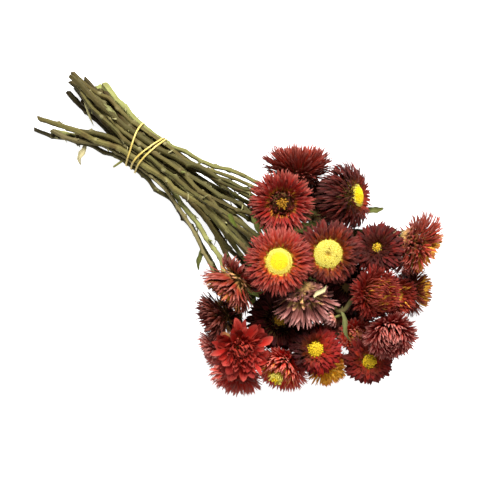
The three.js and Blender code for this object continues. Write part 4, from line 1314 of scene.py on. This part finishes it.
def add_floor(side, glow):
    """A level square that gives off a little light."""
    half = side / 2
    mesh = bpy.data.meshes.new("floor")
    corners = [(-half, -half, 0), (half, -half, 0), (half, half, 0), (-half, half, 0)]
    mesh.from_pydata(corners, [], [(0, 1, 2, 3)])
    finish = Finish("white floor", Roughness=0.9, Emission_Strength=glow)
    mesh.materials.append(finish.feed(Base_Color=FLOOR_GREY, Emission_Color=WHITE))
    floor = linked("floor", mesh)


def add_camera(settings, target):
    """The camera at its distance from the target, turned round it by the azimuth and lifted by the
    elevation."""
    flat = math.cos(settings.elevation)
    turn = settings.azimuth
    back = Vector((math.sin(turn) * flat, -math.cos(turn) * flat, math.sin(settings.elevation)))
    camera = linked("camera", bpy.data.cameras.new("camera"))
    camera.data.lens = settings.lens
    camera.data.sensor_width = 36
    camera.data.clip_end = 50
    camera.location = target + back * settings.distance
    camera.rotation_euler = look(back)
    bpy.context.scene.camera = camera


def add_light(name, power, size, place, target):
    """A square light that shines on the target from its place round it."""
    light = linked(name, bpy.data.lights.new(name, "AREA"))
    light.data.energy = power
    light.data.size = size
    light.location = target + Vector(place)
    light.rotation_euler = look(Vector(place))


def build_stage(settings):
    """A white floor, a soft key light from above the far side, a wide fill, and a white sky."""
    add_floor(settings.floor, settings.glow)
    target = Vector(tie) + Vector((settings.ahead, settings.aside, settings.above))
    add_camera(settings, target)
    add_light("key", settings.key, *KEY, target)
    add_light("fill", settings.fill, *FILL, target)
    world = bpy.data.worlds.new("sky")
    world.use_nodes = True
    world.node_tree.nodes["Background"].inputs["Color"].default_value = WHITE
    world.node_tree.nodes["Background"].inputs["Strength"].default_value = settings.sky
    bpy.context.scene.world = world
    bpy.context.scene.view_settings.view_transform = "Standard"


# ---- operators and panel


class AddBlooms(bpy.types.Operator):
    """Builds the blooms from their bracts"""

    bl_idname = "strawflower.add_blooms"
    bl_label = "Blooms"

    def execute(self, context):
        settings = context.scene.strawflower_blooms
        finish = bract_finish()
        for bloom in blooms:
            bloom_piece(bloom, settings, finish)
        bud_piece(settings, finish)
        return {"FINISHED"}


class AddFlorets(bpy.types.Operator):
    """Fills the open blooms with their discs of florets, and some of the others with tufts"""

    bl_idname = "strawflower.add_florets"
    bl_label = "Florets"

    def execute(self, context):
        finish = floret_finish()
        for bloom in blooms:
            if bloom.number in DISCS:
                disc_piece(bloom, context.scene.strawflower_florets, finish)
        return {"FINISHED"}


class AddStems(bpy.types.Operator):
    """Builds the ribbed stems with their knots and torn scraps, the dried leaves, some dark as painted
    shade, and the side shoots
    """

    bl_idname = "strawflower.add_stems"
    bl_label = "Stems"

    def execute(self, context):
        settings = context.scene.strawflower_stems
        finish = stem_finish()
        for bloom in blooms:
            stem_piece(bloom, settings, finish)
        leaves_piece(settings, finish)
        shoots_piece(settings, finish)
        return {"FINISHED"}


class AddBand(bpy.types.Operator):
    """Builds the rubber band"""

    bl_idname = "strawflower.add_band"
    bl_label = "Rubber band"

    def execute(self, context):
        band_piece(context.scene.strawflower_band)
        return {"FINISHED"}


class AddStage(bpy.types.Operator):
    """Builds the floor, the camera and the lights"""

    bl_idname = "strawflower.add_stage"
    bl_label = "Stage"

    def execute(self, context):
        build_stage(context.scene.strawflower_stage)
        return {"FINISHED"}


GROUPS = {
    "strawflower_blooms": StrawflowerBlooms,
    "strawflower_florets": StrawflowerFlorets,
    "strawflower_stems": StrawflowerStems,
    "strawflower_band": StrawflowerBand,
    "strawflower_stage": StrawflowerStage,
}
OPERATORS = (AddBlooms, AddFlorets, AddStems, AddBand, AddStage)


class StrawflowerPanel(bpy.types.Panel):
    """Sizes, colours and the steps that build the bunch"""

    bl_idname = "VIEW3D_PT_strawflower"
    bl_label = "Dried strawflowers"
    bl_space_type = "VIEW_3D"
    bl_region_type = "UI"
    bl_category = "Strawflowers"

    def draw(self, context):
        for (name, group), operator in zip(GROUPS.items(), OPERATORS):
            box = self.layout.box()
            for setting in group.__annotations__:
                box.prop(getattr(context.scene, name), setting)
            box.operator(operator.bl_idname)


CLASSES = (*GROUPS.values(), *OPERATORS, StrawflowerPanel)


def register():
    for item in CLASSES:
        bpy.utils.register_class(item)
    for name, group in GROUPS.items():
        setattr(bpy.types.Scene, name, PointerProperty(type=group))


def unregister():
    for name in GROUPS:
        delattr(bpy.types.Scene, name)
    for item in reversed(CLASSES):
        bpy.utils.unregister_class(item)


def main():
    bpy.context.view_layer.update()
    register()
    bpy.ops.strawflower.add_blooms()
    bpy.ops.strawflower.add_florets()
    bpy.ops.strawflower.add_stems()
    bpy.ops.strawflower.add_band()
    bpy.ops.strawflower.add_stage()


if __name__ == "__main__":
    main()
